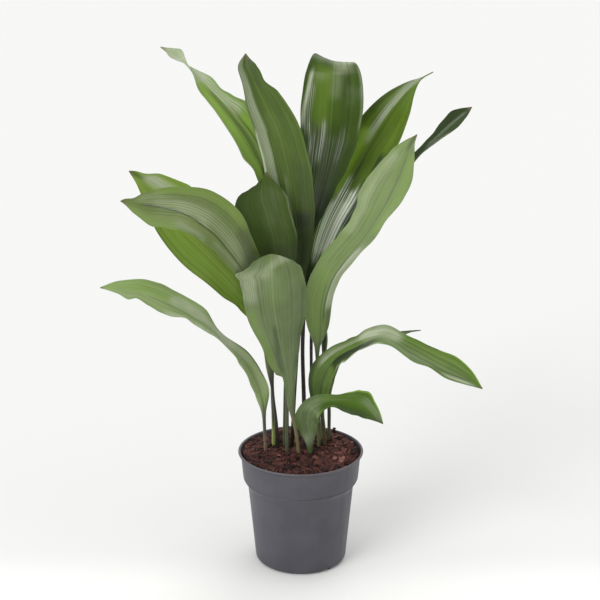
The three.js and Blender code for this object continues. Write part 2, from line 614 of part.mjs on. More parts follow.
function soilSolid() {
  const wall = innerProfile(GAP).slice(0, -1);
  const [footRadius, footHeight] = wall.at(-1);
  const [topRadius, topHeight] = innerProfile(GAP).at(-1);
  const share = (SOIL_LEVEL - footHeight) / (topHeight - footHeight);
  const edge = footRadius + (topRadius - footRadius) * share;
  const surface = [];
  for (let i = 0; i <= SOIL_RINGS; i++) {
    surface.push([edge * (1 - i / SOIL_RINGS), SOIL_LEVEL]);
  }
  const geometry = turned([...wall, ...surface]);
  const places = geometry.attributes.position;
  for (let i = 0; i < places.count; i++) {
    const [x, y, z] = [places.getX(i), places.getY(i), places.getZ(i)];
    if (z > SOIL_LEVEL - 1) places.setZ(i, SOIL_LEVEL + relief(x, y));
  }
  const holes = Object.values(LEAVES).map((leaf) => solid(stalkHole(leaf)));
  return solid(geometry).subtract(joined([rhizomeSolid(GAP), ...holes]));
}

// The plain hole that a stalk stands in, as straight as the stalk is there.
function stalkHole(leaf) {
  const curve = leafCurve(leaf);
  const rows = ringDistances(curve.at, leaf.blade).slice(0, 2).map((distance) => {
    const [x, y, z] = curve.value(distance);
    return [x, y, z, leaf.rows[0][3]];
  });
  return limbGeometry(rows, new THREE.Vector3(0, -1, 0), STALK_STEP, GAP);
}

function material(colour, roughness) {
  return new THREE.MeshStandardMaterial({ color: colour, roughness, metalness: 0 });
}

const plant = new THREE.Group();

function add(name, geometry, surface) {
  const mesh = new THREE.Mesh(geometry, surface);
  mesh.name = name;
  plant.add(mesh);
}

add("pot", geometryOf(potSolid()), material(COLOURS.pot, 0.55));
add("soil", geometryOf(soilSolid()), material(COLOURS.soil, 0.95));
add("rhizome", geometryOf(rhizomeSolid(0)), material(COLOURS.rhizome, 0.8));
for (const [name, leaf] of Object.entries(LEAVES)) {
  add(name, leafGeometry(name), material(COLOURS[leaf.colour], 0.45));
}

export default plant;
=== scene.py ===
"""A cast iron plant in its nursery pot, dressed over its CAD frame.

The leaves, the pot, the soil and its bark replace their plain CAD solids, the rhizome keeps
its solid, and a pale studio with a camera at the photograph's angle stands round them.
Sizes in the tables are in millimetres; Blender works in metres.
"""

import math
from collections import namedtuple

import bpy
import numpy as np
from bpy.props import FloatProperty, FloatVectorProperty, IntProperty, PointerProperty
from mathutils import Matrix, Vector


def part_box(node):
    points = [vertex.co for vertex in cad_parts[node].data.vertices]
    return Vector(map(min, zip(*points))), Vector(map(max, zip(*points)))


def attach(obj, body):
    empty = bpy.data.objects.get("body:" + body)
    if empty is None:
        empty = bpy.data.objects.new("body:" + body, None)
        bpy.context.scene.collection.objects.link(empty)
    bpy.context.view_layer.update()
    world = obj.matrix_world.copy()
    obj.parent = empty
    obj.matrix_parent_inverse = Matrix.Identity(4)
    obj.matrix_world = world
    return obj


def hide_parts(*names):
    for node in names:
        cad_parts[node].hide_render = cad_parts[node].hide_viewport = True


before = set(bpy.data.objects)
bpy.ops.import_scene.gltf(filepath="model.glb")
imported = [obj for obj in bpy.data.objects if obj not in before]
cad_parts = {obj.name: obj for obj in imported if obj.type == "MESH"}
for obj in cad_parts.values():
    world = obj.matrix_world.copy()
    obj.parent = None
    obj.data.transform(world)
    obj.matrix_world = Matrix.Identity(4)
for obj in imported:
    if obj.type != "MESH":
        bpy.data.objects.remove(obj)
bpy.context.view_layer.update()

bl_info = {
    "name": "Potted cast iron plant",
    "version": (1, 0, 0),
    "blender": (4, 5, 0),
    "location": "3D View > Sidebar > Plant",
    "description": "Makes a cast iron plant in a nursery pot over its CAD frame",
    "category": "Object",
}

MM = 0.001
POT_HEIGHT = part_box("pot")[1].z
RIM_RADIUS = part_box("pot")[1].x
POT_FLOOR = 0.002  # thickness of the pot's floor
DRAIN_TURNS = (-56, 64, 184)  # where the drain notches lie, in degrees; the first shows in front

# Each row of a leaf is a place on its midrib, from the rhizome to the tip: x, y, z, the width
# there, and the way that the upper side faces, in degrees round from the front (the right is
# positive) and in degrees up.
ROWS = {
    "leaf_back_left": [
        [-26, 33, 140, 6, 10, 10], [-24, 37, 243, 5.5, 10, 10], [-23, 47, 354, 5, 10, 10],
        [-25, 55, 430, 8, 10, 10], [-30, 64, 505, 42, 10, 10], [-46, 72, 585, 60, 12, 14],
        [-70, 80, 641, 57, 14, 18], [-104, 88, 681, 41, 16, 22], [-139, 98, 718, 27, 25, 28],
        [-155, 103, 734, 22, 60, 38], [-167, 106, 746, 16, 90, 40], [-178, 109, 757, 15, 140, 32],
        [-192, 113, 766, 10, 165, 25], [-208, 117, 774, 1.5, 165, 20]],
    "leaf_tall_left": [
        [-15, 22, 140, 6, 0, 5], [-10, 20, 251, 5.5, 0, 5], [-4, 22, 348, 5, 0, 5], [-1, 24, 425, 9, 0, 5],
        [-3, 24, 496, 42, 0, 6], [-10, 22, 557, 62, -4, 8], [-20, 20, 617, 68, -6, 8],
        [-34, 20, 669, 64, -8, 8], [-53, 22, 709, 52, -8, 10], [-68, 26, 740, 35, -8, 12],
        [-78, 32, 762, 21, -8, 16], [-79, 38, 776, 1.5, -8, 20]],
    "leaf_tall_centre": [
        [7, 30, 140, 6.5, 5, 0], [5, 31, 243, 6.5, 5, 0], [3, 36, 343, 6.2, 5, 0], [8, 42, 425, 9, 5, 5],
        [14, 48, 497, 38, 5, 8], [26, 54, 557, 62, 5, 10], [36, 60, 608, 80, 5, 12],
        [43, 66, 655, 89, 5, 15], [46, 75, 698, 91, 5, 22], [48, 90, 733, 84, 8, 42],
        [50, 112, 752, 66, 40, 72], [54, 136, 748, 46, 150, 74], [60, 156, 730, 26, 175, 50],
        [65, 168, 710, 1.5, 178, 35]],
    "leaf_tall_right": [
        [18, 41, 140, 6, -5, 10], [17, 42, 246, 5.5, -5, 10], [16, 48, 324, 5, -8, 10],
        [17, 56, 395, 8, -10, 15], [22, 66, 455, 36, -15, 20], [38, 78, 507, 60, -20, 26],
        [63, 90, 559, 76, -20, 30], [90, 102, 607, 78, -20, 30], [119, 114, 653, 66, -20, 30],
        [148, 126, 693, 42, -20, 32], [167, 134, 713, 18, -20, 34], [181, 140, 723, 4, -20, 36],
        [200, 148, 732, 1.5, -20, 36]],
    "leaf_right_front": [
        [28, 26, 140, 6, 180, 0], [27, 23, 250, 5.5, 180, 0], [25, 18, 315, 5, 180, 5],
        [25, 14, 340, 9, 182, 8], [26, 6, 372, 32, 184, 10], [27, -1, 410, 42, 190, 12],
        [36, -8, 450, 46, 196, 14], [58, -16, 488, 48, 202, 16], [86, -24, 525, 56, 204, 16],
        [108, -32, 567, 68, 206, 16], [126, -40, 606, 66, 206, 16], [140, -46, 636, 47, 206, 18],
        [150, -50, 657, 24, 206, 22], [162, -54, 677, 1.5, 206, 30]],
    "leaf_far_right": [
        [33, 53, 140, 6, -40, 10], [34, 49, 240, 5.5, -45, 20], [36, 46, 325, 8, -60, 30],
        [38, 48, 372, 24, -70, 35], [45, 52, 422, 42, -72, 37], [64, 58, 468, 50, -72, 38],
        [93, 66, 512, 50, -72, 38], [125, 75, 556, 42, -70, 40], [153, 83, 592, 28, -64, 42],
        [178, 91, 620, 16, -50, 45], [204, 98, 644, 23, -42, 50], [225, 105, 663, 40, -36, 52],
        [241, 111, 674, 28, -36, 54], [257, 118, 684, 1.5, -36, 56]],
    "leaf_left_front": [
        [-35, 26, 140, 6, 10, 5], [-37, 22, 204, 5.5, 10, 5], [-43, 12, 274, 5, 12, 10],
        [-46, 4, 309, 12, 14, 14], [-50, -8, 358, 16, 16, 20], [-57, -22, 410, 24, 18, 26],
        [-67, -36, 457, 38, 20, 30], [-80, -50, 494, 54, 20, 34], [-101, -62, 534, 74, 20, 38],
        [-132, -74, 567, 78, 20, 42], [-162, -86, 583, 68, 18, 44], [-190, -96, 589, 56, 14, 42],
        [-214, -104, 592, 40, 8, 40], [-231, -110, 594, 22, 4, 38], [-247, -116, 597, 1.5, 0, 38]],
    "leaf_left_behind": [
        [-42, 33, 140, 6, 15, 10], [-43, 35, 240, 5.5, 15, 10], [-47, 35, 303, 7, 18, 15],
        [-54, 31, 350, 30, 20, 20], [-71, 25, 402, 60, 20, 25], [-100, 18, 452, 84, 20, 30],
        [-136, 12, 493, 98, 20, 30], [-168, 6, 528, 98, 20, 32], [-194, 0, 561, 84, 20, 34],
        [-214, -6, 588, 58, 20, 36], [-231, -10, 605, 29, 20, 38], [-246, -14, 616, 1.5, 20, 40]],
    "leaf_inner": [
        [-21, 6, 140, 6, 0, 5], [-21, 8, 256, 5.5, 0, 5], [-22, 8, 340, 5, 0, 5], [-25, 7, 400, 8, 0, 5],
        [-33, 5, 465, 50, 0, 5], [-41, 3, 515, 76, 0, 5], [-50, 2, 548, 82, 0, 5], [-57, 2, 574, 70, 0, 5],
        [-56, 3, 594, 42, 0, 5], [-49, 5, 611, 1.5, 0, 5]],
    "leaf_centre_front": [
        [-1, -1, 140, 6, 0, 0], [-6, -4, 202, 5.5, 0, 0], [-12, -10, 240, 8, 0, 5],
        [-18, -20, 280, 22, 0, 8], [-23, -32, 321, 40, 0, 12], [-30, -46, 362, 64, 0, 14],
        [-36, -62, 403, 86, 0, 12], [-40, -76, 442, 96, 0, 14], [-41, -84, 475, 92, 0, 30],
        [-42, -80, 498, 76, -5, 60], [-43, -67, 507, 52, -20, 82], [-44, -56, 503, 29, 180, 70],
        [-46, -48, 494, 1.5, 180, 50]],
    "leaf_low_left": [
        [-53, 3, 140, 6, 15, 5], [-55, 2, 209, 5, 15, 8], [-56, -1, 239, 7, 18, 12],
        [-58, -8, 270, 22, 22, 18], [-68, -18, 310, 27, 30, 30], [-88, -30, 345, 28, 42, 48],
        [-111, -42, 370, 31, 46, 60], [-136, -52, 394, 38, 30, 62], [-163, -60, 417, 46, 12, 58],
        [-195, -68, 436, 50, 5, 56], [-226, -76, 452, 44, 2, 58], [-254, -82, 460, 30, 0, 62],
        [-270, -86, 463, 16, 0, 66], [-284, -88, 464, 1.5, 0, 70]],
    "leaf_low_right": [
        [38, 30, 140, 6, -5, 5], [36, 22, 201, 5.5, -5, 5], [32, 10, 236, 8, -5, 10],
        [28, -2, 271, 28, -8, 18], [34, -8, 305, 38, -15, 30], [51, -16, 331, 40, -25, 50],
        [74, -26, 352, 38, -30, 66], [99, -34, 368, 34, -20, 72], [127, -42, 374, 34, 0, 68],
        [156, -50, 361, 38, 15, 60], [188, -58, 345, 42, 24, 54], [217, -66, 332, 39, 26, 50],
        [241, -72, 321, 27, 26, 48], [264, -78, 307, 1.5, 26, 46]],
    "leaf_small_front": [
        [16, 3, 140, 7, -5, 5], [14, -1, 182, 9, -5, 8], [11, -12, 214, 25, -5, 12],
        [9, -22, 240, 40, -8, 16], [16, -32, 260, 38, -12, 28], [34, -40, 272, 32, -5, 42],
        [55, -46, 276, 32, 0, 48], [76, -52, 276, 41, 5, 48], [93, -57, 271, 37, 10, 46],
        [108, -61, 261, 22, 18, 42], [121, -65, 247, 1.5, 24, 40]],
    "leaf_low_hidden": [
        [44, 45, 140, 6, -10, 10], [44, 42, 215, 5.5, -12, 20], [44, 37, 258, 7, -15, 35],
        [48, 33, 290, 18, -20, 50], [60, 30, 317, 26, -20, 65], [82, 30, 336, 30, -10, 75],
        [108, 30, 346, 30, 0, 78], [135, 30, 353, 26, 5, 76], [162, 30, 358, 18, 8, 74],
        [182, 30, 360, 1.5, 8, 72]],
}

# The form of each blade: the row where the stalk widens to the blade, the trough at its foot and
# at its tip (how far the edges stand above the midrib, as a share of the width), the height of
# its waves in mm and their number, the height of its pleats in mm, where across the blade its
# fold lies (-1 is the left edge) and how sharp the fold is (2 is round, 1 is a crease).
Form = namedtuple("Form", "blade trough_foot trough_tip wave waves pleat fold crease")
FORMS = {
    "leaf_back_left": (3, 0.16, 0.16, 1.5, 3, 0.2, 0.1, 1.3),
    "leaf_tall_left": (3, 0.1, 0.1, 1.5, 2, 0.16, -0.25, 1.2),
    "leaf_tall_centre": (3, 0.08, 0.08, 1.5, 2, 0.18, -0.1, 1.6),
    "leaf_tall_right": (3, 0.14, 0.14, 1.5, 3, 0.18, -0.1, 1.3),
    "leaf_right_front": (3, 0.14, 0.14, 2, 3, 0.24, 0, 1.5),
    "leaf_far_right": (2, 0.12, 0.12, 1.5, 3, 0.16, 0, 1.4),
    "leaf_left_front": (3, 0.1, 0.1, 2, 3, 0.18, 0.1, 1.5),
    "leaf_left_behind": (2, 0.14, 0.14, 1.5, 2, 0.16, 0, 1.5),
    "leaf_inner": (3, 0.08, 0.08, 3, 2, 0.07, 0, 1.8),
    "leaf_centre_front": (2, 0.14, -0.22, 2, 2, 0.18, 0.15, 1.6),
    "leaf_low_left": (2, 0.12, 0.12, 3, 4, 0.18, 0.1, 1.4),
    "leaf_low_right": (2, 0.2, 0.2, 2.5, 3, 0.2, 0.1, 1.3),
    "leaf_small_front": (1, 0.12, 0.12, 1.5, 2, 0.14, 0, 1.6),
    "leaf_low_hidden": (2, 0.15, 0.15, 1.5, 2, 0.14, 0, 1.6),
}

# How far each edge of a blade lies from its midrib, as a share of half the width in ROWS:
# along the blade from its foot (0) to its tip (1), then the left and the right edge.
EDGES = {
    "leaf_back_left": [
        [0, 1, 1], [0.3, 0.6, 1], [0.42, 0.65, 1], [0.5, 1, 1.05], [0.6, 1, 1.15], [0.65, 1, 1.32],
        [0.7, 1, 1.05], [0.74, 1.05, 0.85], [0.8, 1.3, 1.15], [0.86, 1.2, 1], [0.9, 1.1, 1.1],
        [0.93, 2, 1.6], [0.96, 1.5, 2.2], [0.98, 1.2, 1.3], [1, 1, 1]],
    "leaf_tall_left": [
        [0, 1, 0.95], [0.5, 1, 1], [0.77, 1, 1.05], [0.81, 1, 1.04], [0.87, 0.95, 0.76], [0.92, 0.98, 0.98],
        [0.96, 1.12, 1.1], [1, 1, 1]],
    "leaf_tall_centre": [
        [0, 1, 0.5], [0.1, 1, 0.3], [0.19, 1, 0.2], [0.28, 1, 0.45], [0.36, 1, 0.64], [0.45, 1, 0.82],
        [0.55, 1, 0.96], [0.7, 1, 1], [1, 1, 1]],
    "leaf_tall_right": [
        [0, 1, 1], [0.6, 1, 1.1], [0.7, 1, 1.32], [0.8, 1, 1.32], [0.88, 1, 1.2], [0.94, 1, 1], [1, 1, 1]],
    "leaf_right_front": [
        [0, 1, 1], [0.2, 1, 1], [0.3, 1.12, 1], [0.4, 1.15, 1], [0.5, 1.25, 0.95], [0.6, 1.25, 0.88],
        [0.65, 1.3, 0.8], [0.7, 1.35, 0.96], [0.8, 1.38, 0.94], [0.88, 1.3, 1], [0.93, 1.3, 1.25],
        [0.97, 1.1, 1.3], [1, 1, 1]],
    "leaf_far_right": [
        [0, 1, 1], [0.75, 1, 1.2], [0.8, 1, 1.3], [0.85, 0.72, 1.2], [0.9, 0.62, 1.08], [0.95, 0.95, 1],
        [1, 1, 1]],
    "leaf_left_front": [
        [0, 1, 1], [0.45, 1, 0.85], [0.52, 1.05, 0.82], [0.6, 1.1, 0.95], [0.7, 1.22, 0.92],
        [0.8, 1.42, 0.8], [0.86, 1.58, 0.8], [0.92, 1.95, 0.72], [0.96, 1.75, 0.5], [1, 1, 1]],
    "leaf_left_behind": [
        [0, 0.8, 1], [0.2, 0.62, 1], [0.3, 0.78, 1], [0.4, 1, 0.95], [0.6, 1, 0.85], [0.7, 1, 0.9],
        [0.8, 1, 1.02], [0.9, 1, 0.9], [0.95, 1, 0.56], [1, 1, 0.8]],
    "leaf_inner": [
        [0, 1, 1], [0.5, 1, 0.96], [0.6, 1, 0.88], [0.7, 1, 0.87], [0.8, 1.08, 1], [0.845, 1, 1.1],
        [0.865, 0.66, 1.15], [0.885, 0.52, 1.2], [0.9, 0.34, 1.25], [0.92, 0.28, 1.4], [0.95, 0.08, 1.7],
        [1, 0.5, 1.2]],
    "leaf_centre_front": [
        [0, 0.6, 0.8], [0.1, 0.42, 0.8], [0.2, 0.36, 0.84], [0.225, 0.36, 0.86], [0.25, 0.82, 0.88],
        [0.3, 0.92, 0.92], [0.4, 0.8, 0.93], [0.5, 0.84, 0.95], [0.6, 0.9, 1], [0.7, 0.88, 1],
        [0.78, 0.98, 1], [0.815, 1.18, 1], [0.835, 0.9, 1], [0.86, 0.82, 1], [1, 1, 1]],
    "leaf_low_left": [
        [0, 1, 1], [0.1, 1, 1], [0.2, 1.45, 0.78], [0.3, 1.6, 0.58], [0.4, 2.2, 0.55], [0.5, 0.85, 0.92],
        [0.56, 0.52, 1], [0.62, 0.65, 1], [0.7, 1.02, 1], [0.75, 1, 1.04], [0.8, 0.86, 0.96],
        [0.85, 0.66, 1], [0.9, 1.42, 1], [0.94, 1.2, 1.05], [1, 1, 1]],
    "leaf_low_right": [
        [0, 1, 1], [0.2, 1, 1], [0.3, 0.85, 1.1], [0.36, 0.8, 1.9], [0.42, 0.85, 3.3], [0.47, 1.08, 2.9],
        [0.53, 1.05, 1.2], [0.6, 0.78, 1.05], [0.7, 0.86, 1.3], [0.77, 0.95, 1.05], [0.85, 1.05, 1.2],
        [0.93, 1, 1.15], [1, 1, 1]],
    "leaf_small_front": [
        [0, 1, 1], [0.1, 1.05, 1.2], [0.2, 0.95, 1], [0.3, 0.84, 1], [0.4, 0.72, 1.25], [0.5, 0.72, 1.15],
        [0.6, 0.6, 0.8], [0.7, 0.76, 1.1], [0.76, 1, 1.12], [0.81, 1.2, 1.02], [0.87, 0.95, 1.2],
        [0.93, 0.88, 1.2], [1, 1, 1]],
    "leaf_low_hidden": [
        [0, 1, 1], [0.65, 1, 1], [0.76, 0.3, 0.8], [0.85, 0.15, 0.9], [0.93, 0.2, 0.5], [1, 0.5, 0.5]],
}

# Painted light and shade that set one part of a blade off from the rest: sheen is a painted
# silvery reflection on its wax, streak a painted highlight in fine bright lines, shade painted
# shade of a darker green and glow the painted yellow-green of light that comes through. Each runs
# from one place to another, as shares along and across (-1 is the left edge), with how far it
# reaches sideways in mm and how strong it is. One that lies only to the left or the right of its
# line paints the hard edge of light and shade at a crease.
STROKES = {
    "leaf_back_left": [
        ("glow", 0.42, -0.65, 0.8, -0.6, 7, 0.5), ("shade", 0.4, -0.3, 0.74, -0.1, 4, 0.55),
        ("shade", 0.46, 0.05, 0.66, 0.22, 1.3, 0.7), ("glow", 0.45, 0.35, 0.6, 0.4, 5, 0.7),
        ("sheen right", 0.66, 0.1, 0.83, 0.1, 13, 0.4), ("streak", 0.66, 0.5, 0.8, 0.4, 6, 0.3),
        ("sheen", 0.42, -1, 0.85, -1, 1.6, 0.3), ("sheen", 0.83, 0, 0.9, 0, 20, 0.45),
        ("sheen", 0.92, 0, 1, 0, 20, 0.55), ("shade", 0, 0, 0.4, 0, 30, 0.4)],
    "leaf_tall_left": [
        ("sheen left", 0.36, -0.5, 0.97, -0.42, 17, 0.22), ("streak", 0.44, -0.72, 0.92, -0.7, 6, 0.22),
        ("sheen", 0.48, -0.93, 0.68, -0.95, 1.5, 0.75), ("shade", 0.46, -0.44, 0.9, -0.36, 1, 0.35),
        ("shade", 0.88, 0.4, 1, 0.6, 5, 0.45), ("shade", 0.3, 0.5, 0.5, 0.65, 14, 0.35),
        ("shade", 0, 0, 0.3, 0, 40, 0.8), ("glow", 0.5, 0.95, 0.8, 0.95, 2, 0.12),
        ("sheen", 0.32, -0.2, 0.46, -0.15, 3, 0.2), ("shade", 0.93, -0.6, 1, 0, 2.5, 0.3)],
    "leaf_tall_centre": [
        ("sheen", 0.6, -0.92, 0.74, -0.78, 3, 0.75), ("streak", 0.57, -0.8, 0.7, -0.7, 5, 0.35),
        ("shade", 0, 0, 0.5, 0, 80, 0.28), ("shade", 0, 0, 0.58, -0.5, 26, 0.25),
        ("shade", 0, 0, 0.55, 0.5, 20, 0.22), ("shade", 0, 0, 0.32, 0, 80, 0.45),
        ("streak", 0.48, -0.3, 0.57, -0.22, 4.5, 0.4), ("streak", 0.5, -0.62, 0.57, -0.72, 1.8, 0.5),
        ("streak", 0.43, -0.46, 0.53, -0.5, 1.6, 0.4), ("streak", 0.48, 0.42, 0.55, 0.45, 6, 0.12),
        ("sheen", 0.46, -0.5, 0.56, -0.4, 13, 0.14), ("streak", 0.3, 0, 0.52, 0.1, 18, 0.1),
        ("sheen", 0.76, -0.5, 0.77, 0.5, 14, 0.14), ("sheen", 0.81, 0.35, 0.85, 0.6, 14, 0.4),
        ("sheen", 0.7, 0.1, 0.77, 0.2, 9, 0.15), ("glow", 0.6, -0.35, 0.76, -0.3, 13, 0.3),
        ("shade", 0.6, 0.6, 0.76, 0.6, 10, 0.15), ("sheen", 0.6, 0.95, 0.78, 0.95, 1.6, 0.3)],
    "leaf_tall_right": [
        ("sheen left", 0.66, -0.08, 0.95, 0, 9, 0.5), ("streak", 0.7, -0.3, 0.93, -0.2, 4, 0.4),
        ("shade", 0.68, -0.85, 0.9, -0.8, 5, 0.35), ("glow", 0.44, -0.35, 0.66, -0.38, 10, 0.95),
        ("shade", 0.52, 0.1, 0.85, 0.12, 2, 0.35), ("streak", 0.22, 0.3, 0.42, 0.3, 14, 1.4),
        ("streak", 0.18, -0.1, 0.36, -0.15, 9, 0.6), ("sheen", 0.22, 0.35, 0.38, 0.35, 8, 1.2),
        ("streak", 0.38, 0, 0.47, 0, 5, 0.7), ("streak", 0.38, 0.45, 0.45, 0.5, 4, 0.6),
        ("shade right", 0.34, 0.55, 0.6, 0.6, 12, 0.9), ("shade", 0.18, 0.9, 0.4, 0.9, 6, 0.7),
        ("shade", 0, 0, 0.16, 0, 40, 0.8), ("shade", 0.36, 0.1, 0.55, 0.15, 2.5, 0.5)],
    "leaf_right_front": [
        ("sheen", 0.55, 0.75, 0.88, 0.6, 10, 0.26), ("glow", 0.58, -0.7, 0.88, -0.7, 9, 0.5),
        ("shade", 0.5, -0.3, 0.88, -0.25, 1.2, 0.4), ("shade", 0.42, 0.15, 0.8, 0.2, 1.1, 0.3),
        ("sheen left", 0.2, -0.5, 0.46, -0.5, 14, 0.7), ("shade", 0.14, -0.42, 0.42, -0.46, 1.3, 0.7),
        ("glow", 0.08, 0.25, 0.32, 0.3, 12, 0.3), ("shade", 0.04, -0.2, 0.26, -0.16, 1.2, 0.5),
        ("shade", 0.02, -0.75, 0.16, -0.8, 4, 0.5), ("shade", 0.96, 0, 1, 0, 3, 0.6),
        ("shade", 0.4, 0.45, 0.9, 0.4, 1, 0.35), ("shade", 0.36, -0.65, 0.9, -0.6, 1, 0.3)],
    "leaf_far_right": [
        ("sheen", 0.6, 0.8, 0.86, 0.9, 2.2, 0.25), ("shade", 0.76, -0.4, 0.98, -0.3, 9, 0.5),
        ("shade", 0.6, -0.2, 0.82, 0, 1.5, 0.7), ("streak", 0.82, 0.2, 0.95, 0.15, 4, 0.2)],
    "leaf_left_front": [
        ("shade", 0.48, -0.5, 0.7, -0.46, 1.2, 0.9), ("shade", 0.7, -0.46, 0.9, -0.1, 1.2, 0.85),
        ("sheen right", 0.48, -0.46, 0.7, -0.42, 22, 0.13),
        ("sheen right", 0.7, -0.42, 0.92, -0.08, 20, 0.16), ("streak", 0.5, -0.1, 0.86, 0.1, 12, 0.14),
        ("streak", 0.44, -0.75, 0.6, -0.75, 4, 0.25), ("glow", 0.58, 0.8, 0.86, 0.85, 7, 0.35),
        ("shade", 0.36, 0.35, 0.55, 0.6, 15, 0.6), ("glow", 0.84, -1, 0.95, -1, 9, 0.3),
        ("sheen", 0.7, -0.9, 0.8, -0.8, 6, 0.2)],
    "leaf_left_behind": [
        ("glow", 0.34, -0.55, 0.78, -0.5, 17, 0.6), ("shade", 0.34, -0.8, 0.78, -0.8, 1.1, 0.6),
        ("shade", 0.32, -0.6, 0.76, -0.55, 1.1, 0.6), ("shade", 0.3, -0.3, 0.66, -0.25, 1.1, 0.5),
        ("shade", 0.3, -1, 0.84, -1, 2, 0.7), ("shade", 0.3, 0.2, 0.7, 0.25, 13, 0.4),
        ("glow", 0.8, 0.6, 0.91, 0.5, 10, 0.4), ("sheen", 0.8, 0.5, 0.91, 0.4, 10, 0.8),
        ("shade", 0.935, 0.3, 0.98, 0.1, 5, 0.6), ("shade", 0.2, 0, 0.34, 0, 20, 0.5)],
    "leaf_inner": [
        ("shade", 0, 0, 0.42, 0, 60, 0.5), ("shade", 0.6, -1, 0.86, -1, 14, 0.35),
        ("sheen", 0.56, 0.97, 0.84, 0.97, 1.5, 0.15), ("shade", 0.4, -0.2, 0.62, -0.24, 1.2, 0.35),
        ("sheen", 0.4, 0.3, 0.84, 0.3, 18, 0.05), ("shade", 0.4, 0.9, 0.5, 0.9, 6, 0.3)],
    "leaf_centre_front": [
        ("sheen", 0.7, -0.8, 0.8, -0.7, 14, 0.26), ("sheen", 0.79, -1.1, 0.84, -1.1, 6, 0.6),
        ("shade", 0.29, -0.28, 0.5, -0.1, 5, 0.6), ("shade", 0.35, 0.92, 0.72, 0.95, 5, 0.4),
        ("glow", 0.7, 0.1, 0.95, 0.1, 16, 0.1), ("shade", 0.3, 0.6, 0.74, 0.7, 12, 0.2),
        ("shade", 0.62, -0.42, 0.84, -0.46, 1.2, 0.35), ("shade", 0.5, 0.12, 0.9, 0.2, 1.2, 0.25),
        ("glow", 0.3, -0.8, 0.6, -0.8, 7, 0.25), ("shade", 0, 0.7, 0.3, 0.9, 4, 0.4),
        ("sheen", 0.84, -0.2, 0.9, 0.5, 10, 0.3)],
    "leaf_low_left": [
        ("sheen", 0.4, 0.35, 0.68, 0.35, 9, 0.6), ("sheen", 0.42, -0.8, 0.7, -0.85, 6, 0.5),
        ("shade", 0.42, -0.12, 0.78, -0.08, 1, 0.6), ("shade", 0.2, 0.98, 0.36, 0.98, 2, 1.3),
        ("sheen", 0.04, -0.97, 0.4, -0.97, 2.2, 0.55), ("shade", 0.02, -0.25, 0.32, -0.3, 1.2, 0.4),
        ("glow", 0.74, 0.3, 0.95, 0.3, 10, 0.3), ("sheen", 0.3, 0, 0.44, 0, 5, 0.35),
        ("sheen", 0.12, 0.35, 0.42, 0.35, 8, 0.2)],
    "leaf_low_right": [
        ("sheen", 0.47, -0.5, 0.58, -0.35, 10, 0.65), ("sheen left", 0.26, -0.4, 0.48, -0.2, 9, 0.5),
        ("shade right", 0.3, 0.1, 0.48, 0.1, 16, 1.1), ("sheen", 0.32, 1, 0.52, 1, 3, 0.9),
        ("sheen right", 0.56, 0.3, 0.76, 0.4, 9, 0.14), ("sheen", 0.85, 0.65, 0.93, 0.65, 3, 0.6),
        ("glow", 0.62, -0.6, 0.95, -0.55, 9, 0.12), ("shade", 0.64, -0.08, 0.92, 0, 1.1, 0.5),
        ("shade", 0.03, -0.85, 0.22, -0.9, 4, 0.7), ("shade", 0.06, 0.1, 0.3, 0.1, 1.2, 0.5),
        ("shade", 0, 0.1, 0.2, 0.1, 14, 0.25), ("glow", 0.8, -1, 0.98, -1, 1.5, 0.8),
        ("streak", 0.6, 0, 0.9, 0, 10, 0.06), ("shade", 0.64, 0.35, 0.92, 0.3, 1, 0.5),
        ("shade", 0.62, -0.45, 0.9, -0.4, 1, 0.5), ("shade", 0.7, 0.7, 0.95, 0.6, 3, 0.3)],
    "leaf_small_front": [
        ("sheen", 0.08, 0, 0.44, -0.2, 24, 0.2), ("glow", 0.46, 0.8, 0.58, 0.75, 2, 0.3),
        ("glow", 0.54, -0.35, 0.9, -0.3, 14, 0.15), ("shade", 0.56, 0.75, 0.96, 0.75, 6, 0.55),
        ("streak", 0.84, -0.35, 0.93, -0.3, 5, 0.3), ("glow", 0.72, -0.97, 0.95, -0.97, 1.8, 0.7),
        ("shade", 0.1, -0.1, 0.46, -0.1, 1, 0.5), ("shade", 0.5, 0.3, 0.56, 0.35, 8, 0.2),
        ("sheen", 0, 0, 0.1, 0, 10, 0.3)],
    "leaf_low_hidden": [
        ("shade", 0.5, 0, 1, 0, 30, 0.5), ("shade", 0.9, 0, 1, 0, 20, 0.3)],
}

PAINTS = ("sheen", "streak", "shade", "glow")
